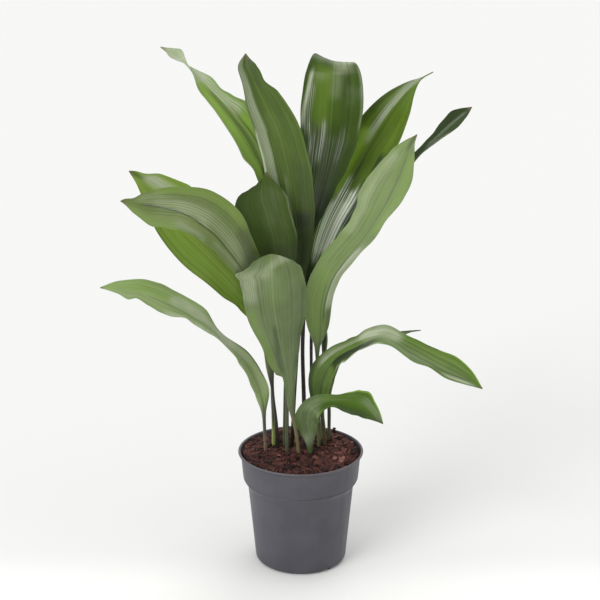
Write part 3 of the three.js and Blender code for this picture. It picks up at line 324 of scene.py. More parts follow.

# How each leaf looks: the two greens that its upper side runs between, the green of its
# underside, the colours of its stalk and of the stalk's foot, the silvery bloom that lies all over
# it, in part a painted sheen, and the roughness of its wax.
Look = namedtuple("Look", "deep light under stalk foot bloom wax")
LOOKS = {
    "leaf_back_left": ("#567428", "#90ac56", "#8aa070", "#55584a", "#6f7a5c", 0.03, 0.34),
    # leaf_tall_left's stalk foot is nearly black: painted shade, where it stands deep among the other stalks.
    "leaf_tall_left": ("#344a0a", "#4c6614", "#7c9060", "#403e37", "#2a281c", 0.05, 0.36),
    "leaf_tall_centre": ("#2a4004", "#456008", "#7c9060", "#3a3432", "#453f3a", 0.02, 0.28),
    "leaf_tall_right": ("#405a0c", "#617e12", "#7c9060", "#3f3c36", "#4c4a38", 0.02, 0.28),
    "leaf_right_front": ("#456016", "#688428", "#80995a", "#575a45", "#7c8258", 0.09, 0.42),
    "leaf_far_right": ("#223408", "#324610", "#66804a", "#4b5138", "#7c7b58", 0, 0.46),
    "leaf_left_front": ("#4f6624", "#6a7e38", "#83995e", "#44413e", "#37372a", 0.1, 0.38),
    "leaf_left_behind": ("#6e8e26", "#98b050", "#86a058", "#565848", "#a3b06c", 0.03, 0.38),
    "leaf_inner": ("#32460a", "#3c5410", "#6c8450", "#5a6048", "#59614a", 0.02, 0.44),
    "leaf_centre_front": ("#4f6230", "#61734a", "#8ca070", "#7d7c5c", "#7c7852", 0.08, 0.42),
    "leaf_low_left": ("#6c8a42", "#98ac70", "#8fa478", "#55544e", "#7d6e5e", 0.12, 0.42),
    "leaf_low_right": ("#3e5a15", "#6d8740", "#8fa478", "#55583f", "#6a6648", 0.02, 0.38),
    "leaf_small_front": ("#2e4c04", "#44620e", "#7c9060", "#5a6c3c", "#5f7340", 0.02, 0.34),
    "leaf_low_hidden": ("#3a5820", "#52702e", "#7c9060", "#4b4c40", "#6a6c50", 0.1, 0.42),
}

# The leaves whose slot is the paler one, and those whose underside faces the front, so that
# their painted light and shade show there.
PALE = ("leaf_right_front", "leaf_centre_front", "leaf_low_left", "leaf_low_right", "leaf_small_front")
SHOWN_BELOW = ("leaf_back_left", "leaf_right_front")


def linear(code):
    """An sRGB hex colour as linear red, green, blue and a full alpha."""
    parts = [int(code[i:i + 2], 16) / 255 for i in (1, 3, 5)]
    return tuple(p / 12.92 if p <= 0.04045 else ((p + 0.055) / 1.055) ** 2.4 for p in parts) + (1.0,)


def colour_property(name, description, code):
    return FloatVectorProperty(
        name=name, description=description, subtype="COLOR", size=4, min=0, max=1, default=linear(code))


def size_property(name, description, metres, least=0):
    return FloatProperty(
        name=name, description=description, default=metres, min=least, unit="LENGTH", precision=4)


def number_property(name, description, value, least=0):
    return FloatProperty(name=name, description=description, default=value, min=least)


class PotSettings(bpy.types.PropertyGroup):
    height: size_property("Height", "From the floor to the top of the lip", POT_HEIGHT)
    rim_radius: size_property("Lip radius", "Half of the width over the lip", RIM_RADIUS)
    lip_drop: size_property("Lip drop", "Height of the rolled lip", 0.0026)
    lip_width: size_property("Lip width", "Width of the rolled top edge", 0.004)
    collar_top_radius: size_property("Collar top radius", "Radius under the lip", 0.0914)
    collar_foot_radius: size_property("Collar foot radius", "Radius above the shoulder", 0.0882)
    collar_foot_height: size_property("Collar foot height", "Where the shoulder starts", 0.1355)
    shoulder_radius: size_property("Shoulder radius", "Radius under the shoulder", 0.081)
    shoulder_height: size_property("Shoulder height", "Where the shoulder ends", 0.1235)
    foot_radius: size_property("Foot radius", "Radius at the foot of the wall", 0.07)
    corner: size_property("Corner", "Radius of the corner at the foot", 0.008)
    wall: size_property("Wall", "Thickness of the moulded wall", 0.0016)
    drain_width: size_property("Drain width", "Width of a drain notch", 0.015)
    drain_height: size_property("Drain height", "Height of a drain notch", 0.0055)
    sides: IntProperty(name="Sides", description="Flats round the pot", default=144, min=24)
    colour: colour_property("Plastic", "Colour of the moulded plastic", "#43424a")


class SoilSettings(bpy.types.PropertyGroup):
    level: size_property("Level", "Height of the soil at the wall", 0.1735)
    crown: size_property("Crown", "How far the middle stands above the level", -0.005, least=-0.02)
    chips: IntProperty(name="Chips", description="Number of bark chips", default=2600, min=0)
    chip_length: size_property("Chip length", "Length of a usual chip", 0.0058)
    dark: colour_property("Dark bark", "The darkest bark, which is also the soil", "#23130f")
    red: colour_property("Red bark", "The usual bark", "#5a3029")
    pale: colour_property("Pale bark", "Freshly broken faces", "#b07f70")


class LeafSettings(bpy.types.PropertyGroup):
    columns: IntProperty(name="Columns", description="Points across a face of a blade", default=49, min=9)
    blade_step: size_property("Blade step", "Distance between rings on a blade", 0.0035)
    stalk_step: size_property("Stalk step", "Distance between rings on a stalk", 0.012)
    thickness: size_property("Thickness", "Thickness of a blade beside its midrib", 0.0008)
    foot_length: size_property("Stalk foot", "How far up a stalk the colour of its foot reaches", 0.062)
    shade: colour_property("Shade", "The darkest green of a blade", "#26351a")
    glow: colour_property("Glow", "The yellow-green of a blade that light comes through", "#85a83c")
    # The colour of the painted sheen and of the bloom all over a leaf.
    bloom: colour_property("Bloom", "The silvery green of the wax", "#b7bea4")
    # The white of the painted highlights in the fine streaks.
    gleam: colour_property("Gleam", "The white of the fine streaks where the wax is thickest", "#eef2e8")
    dry: colour_property("Dry tip", "The brown of a dry tip", "#6f6044")


class StageSettings(bpy.types.PropertyGroup):
    lens: number_property("Lens", "Focal length in millimetres", 90, 10)
    pitch: FloatProperty(
        name="Pitch", description="How far the camera looks down", subtype="ANGLE",
        default=math.radians(17.7))
    place: FloatVectorProperty(
        name="Camera", description="Place of the camera", size=3, subtype="TRANSLATION",
        default=(-0.0011, -2.1149, 1.0928))
    sky: number_property("Room light", "Strength of the light from all round", 0.82)
    front: number_property("Front share", "How much of the room light there is behind the camera", 0.55)
    key: number_property("Key light", "Strength of the soft light from the left", 1.3)
    rim: number_property("Back light", "Strength of the soft light from behind", 0.5)
    # The floor is painted paler in front than behind: painted light that evens out its lighting.
    floor: colour_property("Floor", "Colour of the studio floor behind the plant", "#e6e6e5")
    floor_front: colour_property("Floor in front", "Colour of the studio floor before the plant", "#fdfcf8")


def deselect():
    if bpy.context.mode != "OBJECT":
        bpy.ops.object.mode_set(mode="OBJECT")
    bpy.ops.object.select_all(action="DESELECT")


def added(name):
    """The object that the last operator added, under its name."""
    piece = bpy.context.active_object
    piece.name = name
    piece.data.name = name
    return piece


def settle(piece, slot, *nodes, angle=50):
    """Gives a finished piece its shading, its body and the solids it stands for. Its slot is not used."""
    deselect()
    piece.select_set(True)
    bpy.context.view_layer.objects.active = piece
    bpy.ops.object.transform_apply(location=True, rotation=True, scale=True)
    bpy.ops.object.shade_smooth_by_angle(angle=math.radians(angle))
    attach(piece, "root")
    if nodes:
        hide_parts(*nodes)


def grid_of(points, name):
    """A sheet of faces through rows of points, as an object with a name."""
    rings, around = points.shape[:2]
    deselect()
    bpy.ops.mesh.primitive_grid_add(x_subdivisions=around - 1, y_subdivisions=rings - 1, size=1)
    piece = added(name)
    if len(piece.data.vertices) != rings * around:
        raise RuntimeError(f"the grid for {name} has {len(piece.data.vertices)} points")
    piece.data.vertices.foreach_set("co", points.reshape(-1))
    piece.data.update()
    return piece


def close_up(threshold, holes=False):
    """Joins the active mesh's points that lie together, fills its holes where that is asked, and
    turns its faces outward."""
    bpy.ops.object.mode_set(mode="EDIT")
    bpy.ops.mesh.select_all(action="SELECT")
    bpy.ops.mesh.remove_doubles(threshold=threshold)
    if holes:
        bpy.ops.mesh.select_mode(type="VERT")
        bpy.ops.mesh.select_all(action="DESELECT")
        bpy.ops.mesh.select_non_manifold()
        bpy.ops.mesh.fill_holes(sides=0)
        bpy.ops.mesh.select_all(action="SELECT")
    bpy.ops.mesh.normals_make_consistent(inside=False)
    bpy.ops.object.mode_set(mode="OBJECT")


def fill(tree, node, inputs):
    """Links each input that is given as a socket, and sets any other."""
    for socket, value in inputs.items():
        if isinstance(value, bpy.types.NodeSocket):
            tree.links.new(value, node.inputs[socket])
        else:
            node.inputs[socket].default_value = value


def add_node(tree, kind, inputs=None, **settings):
    """Adds a shader node with its settings and its inputs."""
    made = tree.nodes.new(kind)
    for name, value in settings.items():
        setattr(made, name, value)
    fill(tree, made, inputs or {})
    return made


def new_material(name, inputs):
    """A material with one Principled shader, and its tree and shader."""
    material = bpy.data.materials.new(name)
    material.use_nodes = True
    tree = material.node_tree
    shader = tree.nodes["Principled BSDF"]
    fill(tree, shader, inputs)
    return material, tree, shader


def object_place(tree):
    """The place of a point on its object."""
    return add_node(tree, "ShaderNodeTexCoord").outputs["Object"]


def axes(tree, place):
    """The X, Y and Z of a place."""
    return add_node(tree, "ShaderNodeSeparateXYZ", {"Vector": place}).outputs


def attribute(tree, name):
    """A value that each point of the mesh carries."""
    return add_node(tree, "ShaderNodeAttribute", attribute_name=name).outputs["Fac"]


def noise(tree, place, size, detail):
    """Soft patches of about one size in metres."""
    made = add_node(tree, "ShaderNodeTexNoise", {"Vector": place, "Scale": 1 / size, "Detail": detail})
    return made.outputs["Fac"]


def mixed(tree, share, first, second):
    """The colour between two others."""
    made = add_node(
        tree, "ShaderNodeMix", {0: share, 6: first, 7: second}, data_type="RGBA", clamp_factor=True)
    return made.outputs[2]


def ranged(tree, value, low, high, first=0.0, last=1.0):
    """A value between low and high, taken smoothly to between first and last."""
    made = add_node(
        tree, "ShaderNodeMapRange",
        {"Value": value, "From Min": low, "From Max": high, "To Min": first, "To Max": last},
        interpolation_type="SMOOTHSTEP")
    return made.outputs["Result"]


def maths(tree, operation, first, second=0.0, third=0.0):
    """One step of arithmetic with two or three values."""
    made = add_node(tree, "ShaderNodeMath", {0: first, 1: second, 2: third}, operation=operation)
    return made.outputs[0]


def bumped(tree, height, strength, distance):
    """The normal of a skin that a value makes uneven."""
    made = add_node(tree, "ShaderNodeBump", {"Height": height, "Strength": strength, "Distance": distance})
    return made.outputs["Normal"]


def pot_material(colour, lip_height):
    """Moulded polypropylene: an even slate grey with a satin skin, and a fine spark-eroded grain
    that keeps its reflections soft. Slight vertical flow marks vary the gloss."""
    material, tree, shader = new_material("moulded_polypropylene", {"IOR": 1.49})
    place = object_place(tree)
    # Grain 0.5 mm across, as coarse as it needs to show.
    grain = noise(tree, place, 0.0005, 2.0)
    flow_place = add_node(tree, "ShaderNodeMapping", {"Vector": place, "Scale": (90.0, 90.0, 6.0)})
    flow = noise(tree, flow_place.outputs[0], 1.0, 3.0)
    # Dust and handling lighten it in patches about 40 mm across.
    patches = noise(tree, place, 0.04, 4.0)
    pale = tuple(min(1.0, c * 1.22 + 0.003) for c in colour[:3]) + (1.0,)
    shade = mixed(tree, ranged(tree, patches, 0.3, 0.75), colour, pale)
    # The top 3 mm of the lip are painted paler and warmer: a painted highlight where the rolled lip catches
    # the light.
    lip_highlight = ranged(tree, axes(tree, place)["Z"], lip_height - 0.003, lip_height, 0.0, 0.5)
    fill(tree, shader, {
        "Base Color": mixed(tree, lip_highlight, shade, linear("#6c6465")),
        "Roughness": ranged(tree, flow, 0.2, 0.8, 0.42, 0.54),
        "Normal": bumped(tree, grain, 0.12, 0.0002),
    })
    return material


def bark_material(dark, red, pale):
    """Milled pine bark: matt, fibrous flakes from near black to red-brown, paler and pinker on
    their broken faces. Each chip has its own tone."""
    material, tree, shader = new_material("milled_pine_bark", {"Roughness": 0.82, "IOR": 1.4})
    # Fibres and pits 1.6 mm across.
    fibre = noise(tree, object_place(tree), 0.0016, 3.0)
    spread = maths(tree, "MULTIPLY_ADD", fibre, 0.5, -0.25)
    ramp = add_node(tree, "ShaderNodeValToRGB", {"Fac": maths(tree, "ADD", attribute(tree, "tone"), spread)})
    stops = ramp.color_ramp.elements
    stops[0].position, stops[0].color = 0.08, dark
    stops[1].position, stops[1].color = 0.95, pale
    stops.new(0.55).color = red
    fill(tree, shader, {"Base Color": ramp.outputs["Color"], "Normal": bumped(tree, fibre, 0.6, 0.0008)})
    return material


def soil_material(dark, red):
    """Damp potting mix: almost black peat with crumbs of bark 2 to 4 mm across."""
    material, tree, shader = new_material("damp_potting_mix", {"Roughness": 0.9, "IOR": 1.4})
    place = object_place(tree)
    crumbs = add_node(tree, "ShaderNodeTexVoronoi", {"Vector": place, "Scale": 1 / 0.004})
    share = maths(tree, "MULTIPLY", crumbs.outputs["Color"], 0.7)
    height = maths(tree, "ADD", crumbs.outputs["Distance"], noise(tree, place, 0.002, 4.0))
    fill(tree, shader, {
        "Base Color": mixed(tree, share, dark, red),
        "Normal": bumped(tree, height, 0.8, 0.002),
    })
    return material


def rhizome_material():
    """A living rootstock: pale, corky tan with darker leaf scars ringed round it every 7.5 mm."""
    material, tree, shader = new_material("corky_rootstock", {"Roughness": 0.75, "IOR": 1.4})
    place = object_place(tree)
    rings = add_node(
        tree, "ShaderNodeTexWave", {"Vector": place, "Scale": 1 / 0.024, "Distortion": 3.0, "Detail": 2.0})
    cork = noise(tree, place, 0.003, 3.0)
    share = maths(tree, "MULTIPLY", rings.outputs["Fac"], cork)
    fill(tree, shader, {
        "Base Color": mixed(tree, share, linear("#6d5334"), linear("#c0a878")),
        "Normal": bumped(tree, cork, 0.5, 0.001),
    })
    return material


def leaf_material(name, blade_share, foot_share, settings):
    """A waxy evergreen leaf: a satin cuticle over parallel veins that run from the stalk to the
    tip, lighter between the veins, greyer underneath, and with some light showing through.
    The stalk has a colour of its own, and its foot near the soil another."""
    look = Look(*LOOKS[name])
    deep, light, under, stalk, foot = map(linear, look[:5])
    # Leaf tissue lets red and above all green light through a millimetre or so.
    material, tree, shader = new_material("waxy_" + name, {
        "IOR": 1.45, "Specular IOR Level": 0.22, "Subsurface Weight": 0.2, "Subsurface Scale": 0.001,
        "Subsurface Radius": (0.6, 1.0, 0.15)})
    uv = add_node(tree, "ShaderNodeUVMap", uv_map="blade").outputs["UV"]
    across, along, _ = axes(tree, uv)
    upper = attribute(tree, "upper")
    # The painted light and shade of the upper side show only weakly underneath, but for two leaves.
    side = ranged(tree, upper, 0.0, 1.0, 1.0 if name in SHOWN_BELOW else 0.35, 1.0)

    def painted(kind):
        return maths(tree, "MULTIPLY", attribute(tree, kind), side)

    def lines(across_count, along_count, detail):
        """Long, thin patches that run along the leaf, so many across and so many along."""
        place = add_node(tree, "ShaderNodeMapping", {"Vector": uv, "Scale": (across_count, along_count, 1.0)})
        made = add_node(
            tree, "ShaderNodeTexNoise", {"Vector": place.outputs[0], "Scale": 1.0, "Detail": detail},
            noise_dimensions="2D")
        return made.outputs["Fac"]

    # Veins a good 1 mm apart, cords of them some 2 mm apart, broader bands, and short patches.
    veins, cords = lines(70.0, 1.2, 1.0), lines(34.0, 1.2, 1.0)
    bands, patches = lines(7.0, 2.0, 3.0), lines(4.0, 9.0, 4.0)
    fine = maths(tree, "MULTIPLY_ADD", veins, 0.45, maths(tree, "MULTIPLY", cords, 0.55))
    share = maths(tree, "MULTIPLY", ranged(tree, patches, 0.3, 0.7), 0.25)
    share = maths(tree, "MULTIPLY_ADD", ranged(tree, bands, 0.3, 0.7), 0.25, share)
    share = maths(tree, "MULTIPLY_ADD", ranged(tree, fine, 0.32, 0.68), 0.5, share)
    dull = tuple(0.72 * c for c in under[:3]) + (1.0,)
    green = mixed(tree, upper, mixed(tree, share, dull, under), mixed(tree, share, deep, light))
    # Painted shade and the painted yellow-green glow of light coming through, from the strokes.
    green = mixed(tree, painted("shade"), green, settings.shade)
    green = mixed(tree, painted("glow"), green, settings.glow)

    # The painted sheen, silvery reflections on the wax, and the bloom that lies all over the leaf
    # break up into fine lines between the veins; the painted streaks are fine white highlights.
    bloom = maths(tree, "ADD", painted("sheen"), look.bloom)
    bloom = maths(tree, "MULTIPLY", bloom, ranged(tree, fine, 0.3, 0.7, 0.66, 1.3))
    bloom = maths(tree, "MULTIPLY", bloom, ranged(tree, patches, 0.3, 0.7, 0.75, 1.2))
    streak = maths(tree, "MULTIPLY", painted("streak"), ranged(tree, fine, 0.42, 0.62))
    green = mixed(tree, bloom, green, settings.bloom)
    green = mixed(tree, streak, green, settings.gleam)

    # The midrib is a paler line about 2 mm wide, and the edges are a hair of it.
    off_middle = maths(tree, "ABSOLUTE", maths(tree, "SUBTRACT", across, 0.5))
    rib = ranged(tree, off_middle, 0.004, 0.02, 0.2, 0.0)
    edge = ranged(tree, off_middle, 0.485, 0.5, 0.0, 0.18)
    green = mixed(tree, maths(tree, "ADD", rib, edge), green, under)

    # The last centimetre of the tip is dry and brown.
    green = mixed(tree, ranged(tree, along, 0.982, 0.998, 0.0, 0.7), green, settings.dry)

    above_foot = ranged(tree, along, foot_share * 0.7, foot_share * 1.3)
    on_blade = ranged(tree, along, blade_share * 0.8, blade_share + 0.08)
    fill(tree, shader, {
        "Base Color": mixed(tree, on_blade, mixed(tree, above_foot, foot, stalk), green),
        "Roughness": ranged(tree, fine, 0.36, 0.64, look.wax + 0.06, look.wax - 0.04),
        "Normal": bumped(tree, fine, 0.3, 0.0006),
    })
    return material


def floor_material(front, back):
    """A painted studio floor: matt and nearly white and faintly mottled. It is painted paler in front
    than behind and glows a little in front of the pot: painted light, where the photo has hardly any shadow."""
    material, tree, shader = new_material(
        "matt_studio_paint", {"Roughness": 0.9, "Specular IOR Level": 0.1, "Emission Color": front})
    place = object_place(tree)
    depth = axes(tree, place)["Y"]
    # Paler towards the front: painted light that evens out the light on the floor from front to back.
    share = ranged(tree, maths(tree, "MULTIPLY_ADD", noise(tree, place, 1 / 3, 3.0), 0.2, depth), -0.8, 0.35)
    fill(tree, shader, {
        "Base Color": mixed(tree, share, front, back),
        # A faint glow just in front of the pot: painted light that lifts the pot's shadow there.
        "Emission Strength": ranged(tree, depth, -0.12, 0.02, 0.1, 0.0),
    })
    return material


def curve_through(rows):
    """A smooth curve through rows of numbers, of which the first three are a place: the distance
    of each row, and a function that gives the numbers at many distances along it."""
    steps = np.linalg.norm(np.diff(rows[:, :3], axis=0), axis=1)
    at = np.concatenate([[0], np.cumsum(steps)])
    rise = np.diff(rows, axis=0) / steps[:, None]
    before, after = steps[:-1, None], steps[1:, None]
    inner = (rise[:-1] * after + rise[1:] * before) / (before + after)
    slope = np.vstack([rise[0], inner, rise[-1]])

    def value(distances):
        i = np.clip(np.searchsorted(at, distances) - 1, 0, len(steps) - 1)
        t = ((distances - at[i]) / steps[i])[:, None]
        rest = 1 - t
        ends = rows[i] * (1 + 2 * t) * rest**2 + rows[i + 1] * (3 - 2 * t) * t**2
        return ends + steps[i][:, None] * (slope[i] * t * rest**2 - slope[i + 1] * rest * t**2)

    return at, value


def unit(vectors):
    return vectors / np.linalg.norm(vectors, axis=1, keepdims=True)


def smoothstep(value, low, high):
    t = np.clip((value - low) / (high - low), 0, 1)
    return t * t * (3 - 2 * t)


def swing(turns):
    """A wave between -1 and 1."""
    return np.sin(2 * math.pi * turns)


def leaf_rows(name):
    """A leaf's rows in metres, with the facing turned from angles to a direction."""
    rows = np.array(ROWS[name], float)
    around, up = np.radians(rows[:, 4]), np.radians(rows[:, 5])
    facing = np.stack([np.sin(around) * np.cos(up), -np.cos(around) * np.cos(up), np.sin(up)], axis=1)
    return np.hstack([rows[:, :4] * MM, facing])


def ring_distances(at, blade, settings):
    """Where the rings lie along a leaf: sparse on the stalk, close on the blade."""
    parts = [np.array([0.0])]
    for i in range(1, len(at)):
        step = settings.stalk_step if i <= blade else settings.blade_step
        count = max(1, round((at[i] - at[i - 1]) / step))
        parts.append(at[i - 1] + (at[i] - at[i - 1]) * np.arange(1, count + 1) / count)
    return np.concatenate(parts)


def edge_shares(name, share):
    """How far the left and the right edge of a blade lie out at each share of its length."""
    rows = np.array(EDGES[name])
    i = np.clip(np.searchsorted(rows[:, 0], share) - 1, 0, len(rows) - 2)
    t = smoothstep(share, rows[i, 0], rows[i + 1, 0])[:, None]
    both = rows[i, 1:] * (1 - t) + rows[i + 1, 1:] * t
    return both[:, :1], both[:, 1:]


def strokes_at(name, share, q, half, length):
    """How strong the painted sheen, streaks, shade and glow are at each point of a blade."""
    fade = 12 * MM
    paint = {kind: np.zeros(np.broadcast(share, q).shape) for kind in PAINTS}
    for kind, first, first_q, last, last_q, reach, strength in STROKES[name]:
        kind, _, one_side = kind.partition(" ")
        nearest = np.clip(share, first, last)
        line = first_q + (last_q - first_q) * (nearest - first) / max(last - first, 1e-6)
        off = (q - line) * half / (reach * MM)
        beyond = (share - nearest) * length / fade
        # A little fuller in the middle and sharper at the rim than a plain bell curve.
        strokes = strength * np.exp(-((off**2 + beyond**2) ** 1.4))
        if one_side:
            strokes = np.where((off > 0) == (one_side == "right"), strokes, 0)
        paint[kind] += strokes
    return [np.minimum(layer, 1) for layer in paint.values()]


# The finer forms of a leaf, in mm: how far its edges frill, how deep its broad hollows are, how
# far the midrib spreads, sinks into the upper side and stands out underneath, and over what
# length the round stalk turns flat.
FRILL, HOLLOW, RIB_SPREADS, RIB_SINKS, RIB_STANDS, FLATTENS = 0.9, 0.5, 1.3, 0.35, 0.9, 45


def blade_rise(form, chance, share, q, width, side_share):
    """How far each point of a blade stands above its midrib."""
    swell = np.sin(math.pi * share)
    trough = form.trough_foot + (form.trough_tip - form.trough_foot) * share
    fold = form.fold * swell
    off_fold = np.abs(q - fold) / (1 + np.abs(fold))
    lift_share = 1 + (side_share - 1) * smoothstep(np.abs(q), 0.0, 0.5)
    rise = trough * width * lift_share * off_fold**form.crease
    rise = rise + form.wave * MM * swing(form.waves * share) * swell * q * q * np.sign(q)

    # The edges frill a little more than the CAD solids do, each in its own time.
    for edge in (-1, 1):
        turns = chance.uniform(5, 8)
        frill = FRILL * MM * swing(turns * share + chance.uniform(0, 1))
        rise = rise + frill * swell * np.clip(edge * q, 0, 1) ** 4

    # Pleats along the veins, which wander a little on their way to the tip.
    pleats = 0
    for count, height in ((5.5, 0.45), (9.5, 0.35), (16.5, 0.2)):
        phase = chance.uniform(0, 1) + chance.uniform(-0.3, 0.3) * share
        pleats = pleats + height * swing(count * (q + 1) / 2 + phase)
    rise = rise + form.pleat * MM * pleats * swell**0.5 * (1 - q**8)

    # Broad hollows and swellings, about 60 mm long.
    for turns in (3, 5):
        hollow = swing(turns * share + chance.uniform(0, 1))
        rise = rise + HOLLOW * MM * hollow * np.cos(math.pi * (q + chance.uniform(-0.4, 0.4))) * swell
    return rise


def leaf_points(name, seed, settings):
    """Every point of a leaf's skin, ring by ring, with its place across and along the leaf, whether
    it is on the upper side, and its paints. A ring runs over the upper side from the
    left edge to the right and back under the lower side, and its first point comes again at its end."""
    form = Form(*FORMS[name])
    chance = np.random.default_rng(seed)
    at, value = curve_through(leaf_rows(name))
    distances = ring_distances(at, form.blade, settings)
    numbers = value(distances)
    reach = 2 * MM
    ahead = value(np.minimum(distances + reach, at[-1]))[:, :3]
    behind = value(np.maximum(distances - reach, 0))[:, :3]
    along = unit(ahead - behind)
    along[0] = (0, 0, 1)
    side = unit(np.cross(along, numbers[:, 4:7]))
    up = unit(np.cross(side, along))

    columns = settings.columns
    index = np.arange(2 * columns)
    upper = index < columns
    column = np.where(upper, index, 2 * columns - 1 - index)
    q = (2 * column / (columns - 1) - 1)[None, :]
    angle = (math.pi - (index + 0.5) * math.pi / columns)[None, :]

    start = at[form.blade]
    share = (np.maximum(0, distances - start) / (at[-1] - start))[:, None]
    flat = smoothstep(distances, start, start + FLATTENS * MM)[:, None]
    width = numbers[:, 3:4]
    left, right = edge_shares(name, share[:, 0])
    side_share = np.where(q < 0, left, right)
    rise = blade_rise(form, chance, share, q, width, side_share)

    # The width wavers by about 1 in 100.
    half = width / 2 * (1 + 0.012 * swing(6 * share + chance.uniform(0, 1)) * np.sin(math.pi * share))
    off_rib = half * q * side_share
    thickness = settings.thickness * (0.5 + 0.5 * (1 - q**4))
    rib = MM * np.exp(-((off_rib / (RIB_SPREADS * MM)) ** 2)) * (1 - share)
    skin = np.where(upper, thickness / 2 - RIB_SINKS * rib, -thickness / 2 - RIB_STANDS * rib)

    # The stalk is round, with a shallow channel down its upper side.
    channel = np.where(upper, 0.16 * np.exp(-((np.cos(angle) / 0.35) ** 2)), 0)
    x = (1 - flat) * half * np.cos(angle) + flat * off_rib
    y = (1 - flat) * half * (np.sin(angle) - channel) + flat * (rise + skin)
    points = numbers[:, None, :3] + x[..., None] * side[:, None] + y[..., None] * up[:, None]
    wrap = np.concatenate([index, [0]])
    places = np.broadcast_to((q + 1) / 2, x.shape)[:, wrap]
    lengths = np.broadcast_to((distances / at[-1])[:, None], places.shape)
    sides = np.broadcast_to(upper.astype(float), x.shape)[:, wrap]
    paint = [part[:, wrap] for part in strokes_at(name, share, q, half, at[-1] - start)]
    shares = (start / at[-1], settings.foot_length / at[-1])
    return points[:, wrap], places, lengths, shares, [sides, *paint]


def make_leaf(name, seed, settings):
    points, across, along, shares, paint = leaf_points(name, seed, settings)
    piece = grid_of(points, name + "_blade")
    mesh = piece.data
    corners = np.empty(len(mesh.loops), int)
    mesh.loops.foreach_get("vertex_index", corners)
    mesh.uv_layers[0].name = "blade"
    places = np.stack([across.reshape(-1), along.reshape(-1)], axis=1)[corners]
    mesh.uv_layers["blade"].data.foreach_set("uv", places.reshape(-1))
    for kind, values in zip(("upper", *PAINTS), paint):
        mesh.attributes.new(kind, "FLOAT", "POINT").data.foreach_set("value", values.reshape(-1))
    mesh.update()
    close_up(0.005 * MM, holes=True)
    mesh.materials.append(leaf_material(name, *shares, settings))
    settle(piece, "leaf_pale" if name in PALE else "leaf_deep", name)


def arc(radius, height, size, first, last, steps):
    """Part of a circle in a profile, as radius and height, between two angles in degrees."""
    angles = np.radians(np.linspace(first, last, steps + 1))
    return [(radius + size * math.cos(a), height + size * math.sin(a)) for a in angles]


def turned_walls(profile):
    """Draws the face that is selected up through rings of radius and height."""
    radius, height = profile[0]
    for next_radius, next_height in profile[1:]:
        bpy.ops.mesh.extrude_region_move(TRANSFORM_OT_translate={"value": (0, 0, next_height - height)})
        scale = next_radius / radius
        bpy.ops.transform.resize(value=(scale, scale, 1), center_override=(0, 0, next_height))
        radius, height = next_radius, next_height


def pot_profile(s):
    """The pot's section: up its outer wall, over the lip and down inside to the floor."""
    lip_foot = s.height - s.lip_drop
    top = s.lip_width / 2
    # Up the wall, over the step to the collar, and out under the lip.
    outside = [
        *arc(s.foot_radius - s.corner, s.corner, s.corner, -90, 0, 8),
        (s.shoulder_radius - 0.0006, s.shoulder_height - 0.0055),
        (s.shoulder_radius - 0.0001, s.shoulder_height - 0.0022),
        (s.shoulder_radius + 0.0003, s.shoulder_height),
        (s.shoulder_radius + 0.0016, s.shoulder_height + 0.0028),
        (s.collar_foot_radius - 0.0012, s.collar_foot_height - 0.0024),
        (s.collar_foot_radius - 0.0016, s.collar_foot_height - 0.0018),
        (s.collar_foot_radius - 0.0014, s.collar_foot_height - 0.0007),
        (s.collar_foot_radius - 0.0002, s.collar_foot_height - 0.0002),
        (s.collar_foot_radius + 0.0002, s.collar_foot_height + 0.003),
        (s.collar_top_radius - 0.0001, lip_foot - 0.0042),
        (s.collar_top_radius + 0.0002, lip_foot - 0.0028),
        (s.collar_top_radius + 0.0014, lip_foot - 0.0018),
        (s.rim_radius - 0.0012, lip_foot - 0.001),
        (s.rim_radius - 0.0004, lip_foot),
    ]
    lip = arc(s.rim_radius - top, s.height - top, top, 0, 180, 12)
    off = s.wall
    inside = [
        (s.collar_top_radius - off, lip_foot - 0.003),
        (s.collar_foot_radius - off, s.collar_foot_height),
        (s.shoulder_radius - off, s.shoulder_height),
        *reversed(arc(s.foot_radius - s.corner, POT_FLOOR + s.corner - off, s.corner - off, -90, 0, 6)),
    ]
    return outside + lip + inside


class PLANT_OT_pot(bpy.types.Operator):
    """Make the moulded nursery pot"""

    bl_idname = "plant.pot"
    bl_label = "Pot"

    def execute(self, context):
        s = context.scene.plant_pot
        profile = pot_profile(s)
        deselect()
        bpy.ops.mesh.primitive_circle_add(
            vertices=s.sides, radius=profile[0][0], fill_type="NGON", location=(0, 0, profile[0][1]))
        piece = added("nursery_pot")
        bpy.ops.object.mode_set(mode="EDIT")
        bpy.ops.mesh.select_mode(type="FACE")
        bpy.ops.mesh.select_all(action="SELECT")
        turned_walls(profile)
        bpy.ops.mesh.select_all(action="SELECT")
        bpy.ops.mesh.normals_make_consistent(inside=False)
        bpy.ops.object.mode_set(mode="OBJECT")
        self.cut_drains(piece, s)
        piece.data.materials.append(pot_material(tuple(s.colour), s.height))
        settle(piece, "pot_plastic", "pot", angle=32)
        return {"FINISHED"}

    def cut_drains(self, piece, s):
        """Three notches in the bottom edge, of which one shows to the right of the front."""
        reach = 0.032
        for turn in map(math.radians, DRAIN_TURNS):
            deselect()
            bpy.ops.mesh.primitive_cube_add(size=1, location=(0, 0, 0))
            notch = added("drain_cutter")
            notch.scale = (reach, s.drain_width, s.drain_height * 2)
            notch.location = (s.foot_radius * math.cos(turn), s.foot_radius * math.sin(turn), 0)
            notch.rotation_euler = (0, 0, turn)
            deselect()
            piece.select_set(True)
            bpy.context.view_layer.objects.active = piece
            cut = piece.modifiers.new("drain", "BOOLEAN")
            cut.operation = "DIFFERENCE"
            cut.solver = "EXACT"
            cut.object = notch
            bpy.ops.object.modifier_apply(modifier=cut.name)
            bpy.data.objects.remove(notch)


SOIL_RADIUS = 0.09
SOIL_LUMP = 0.0016


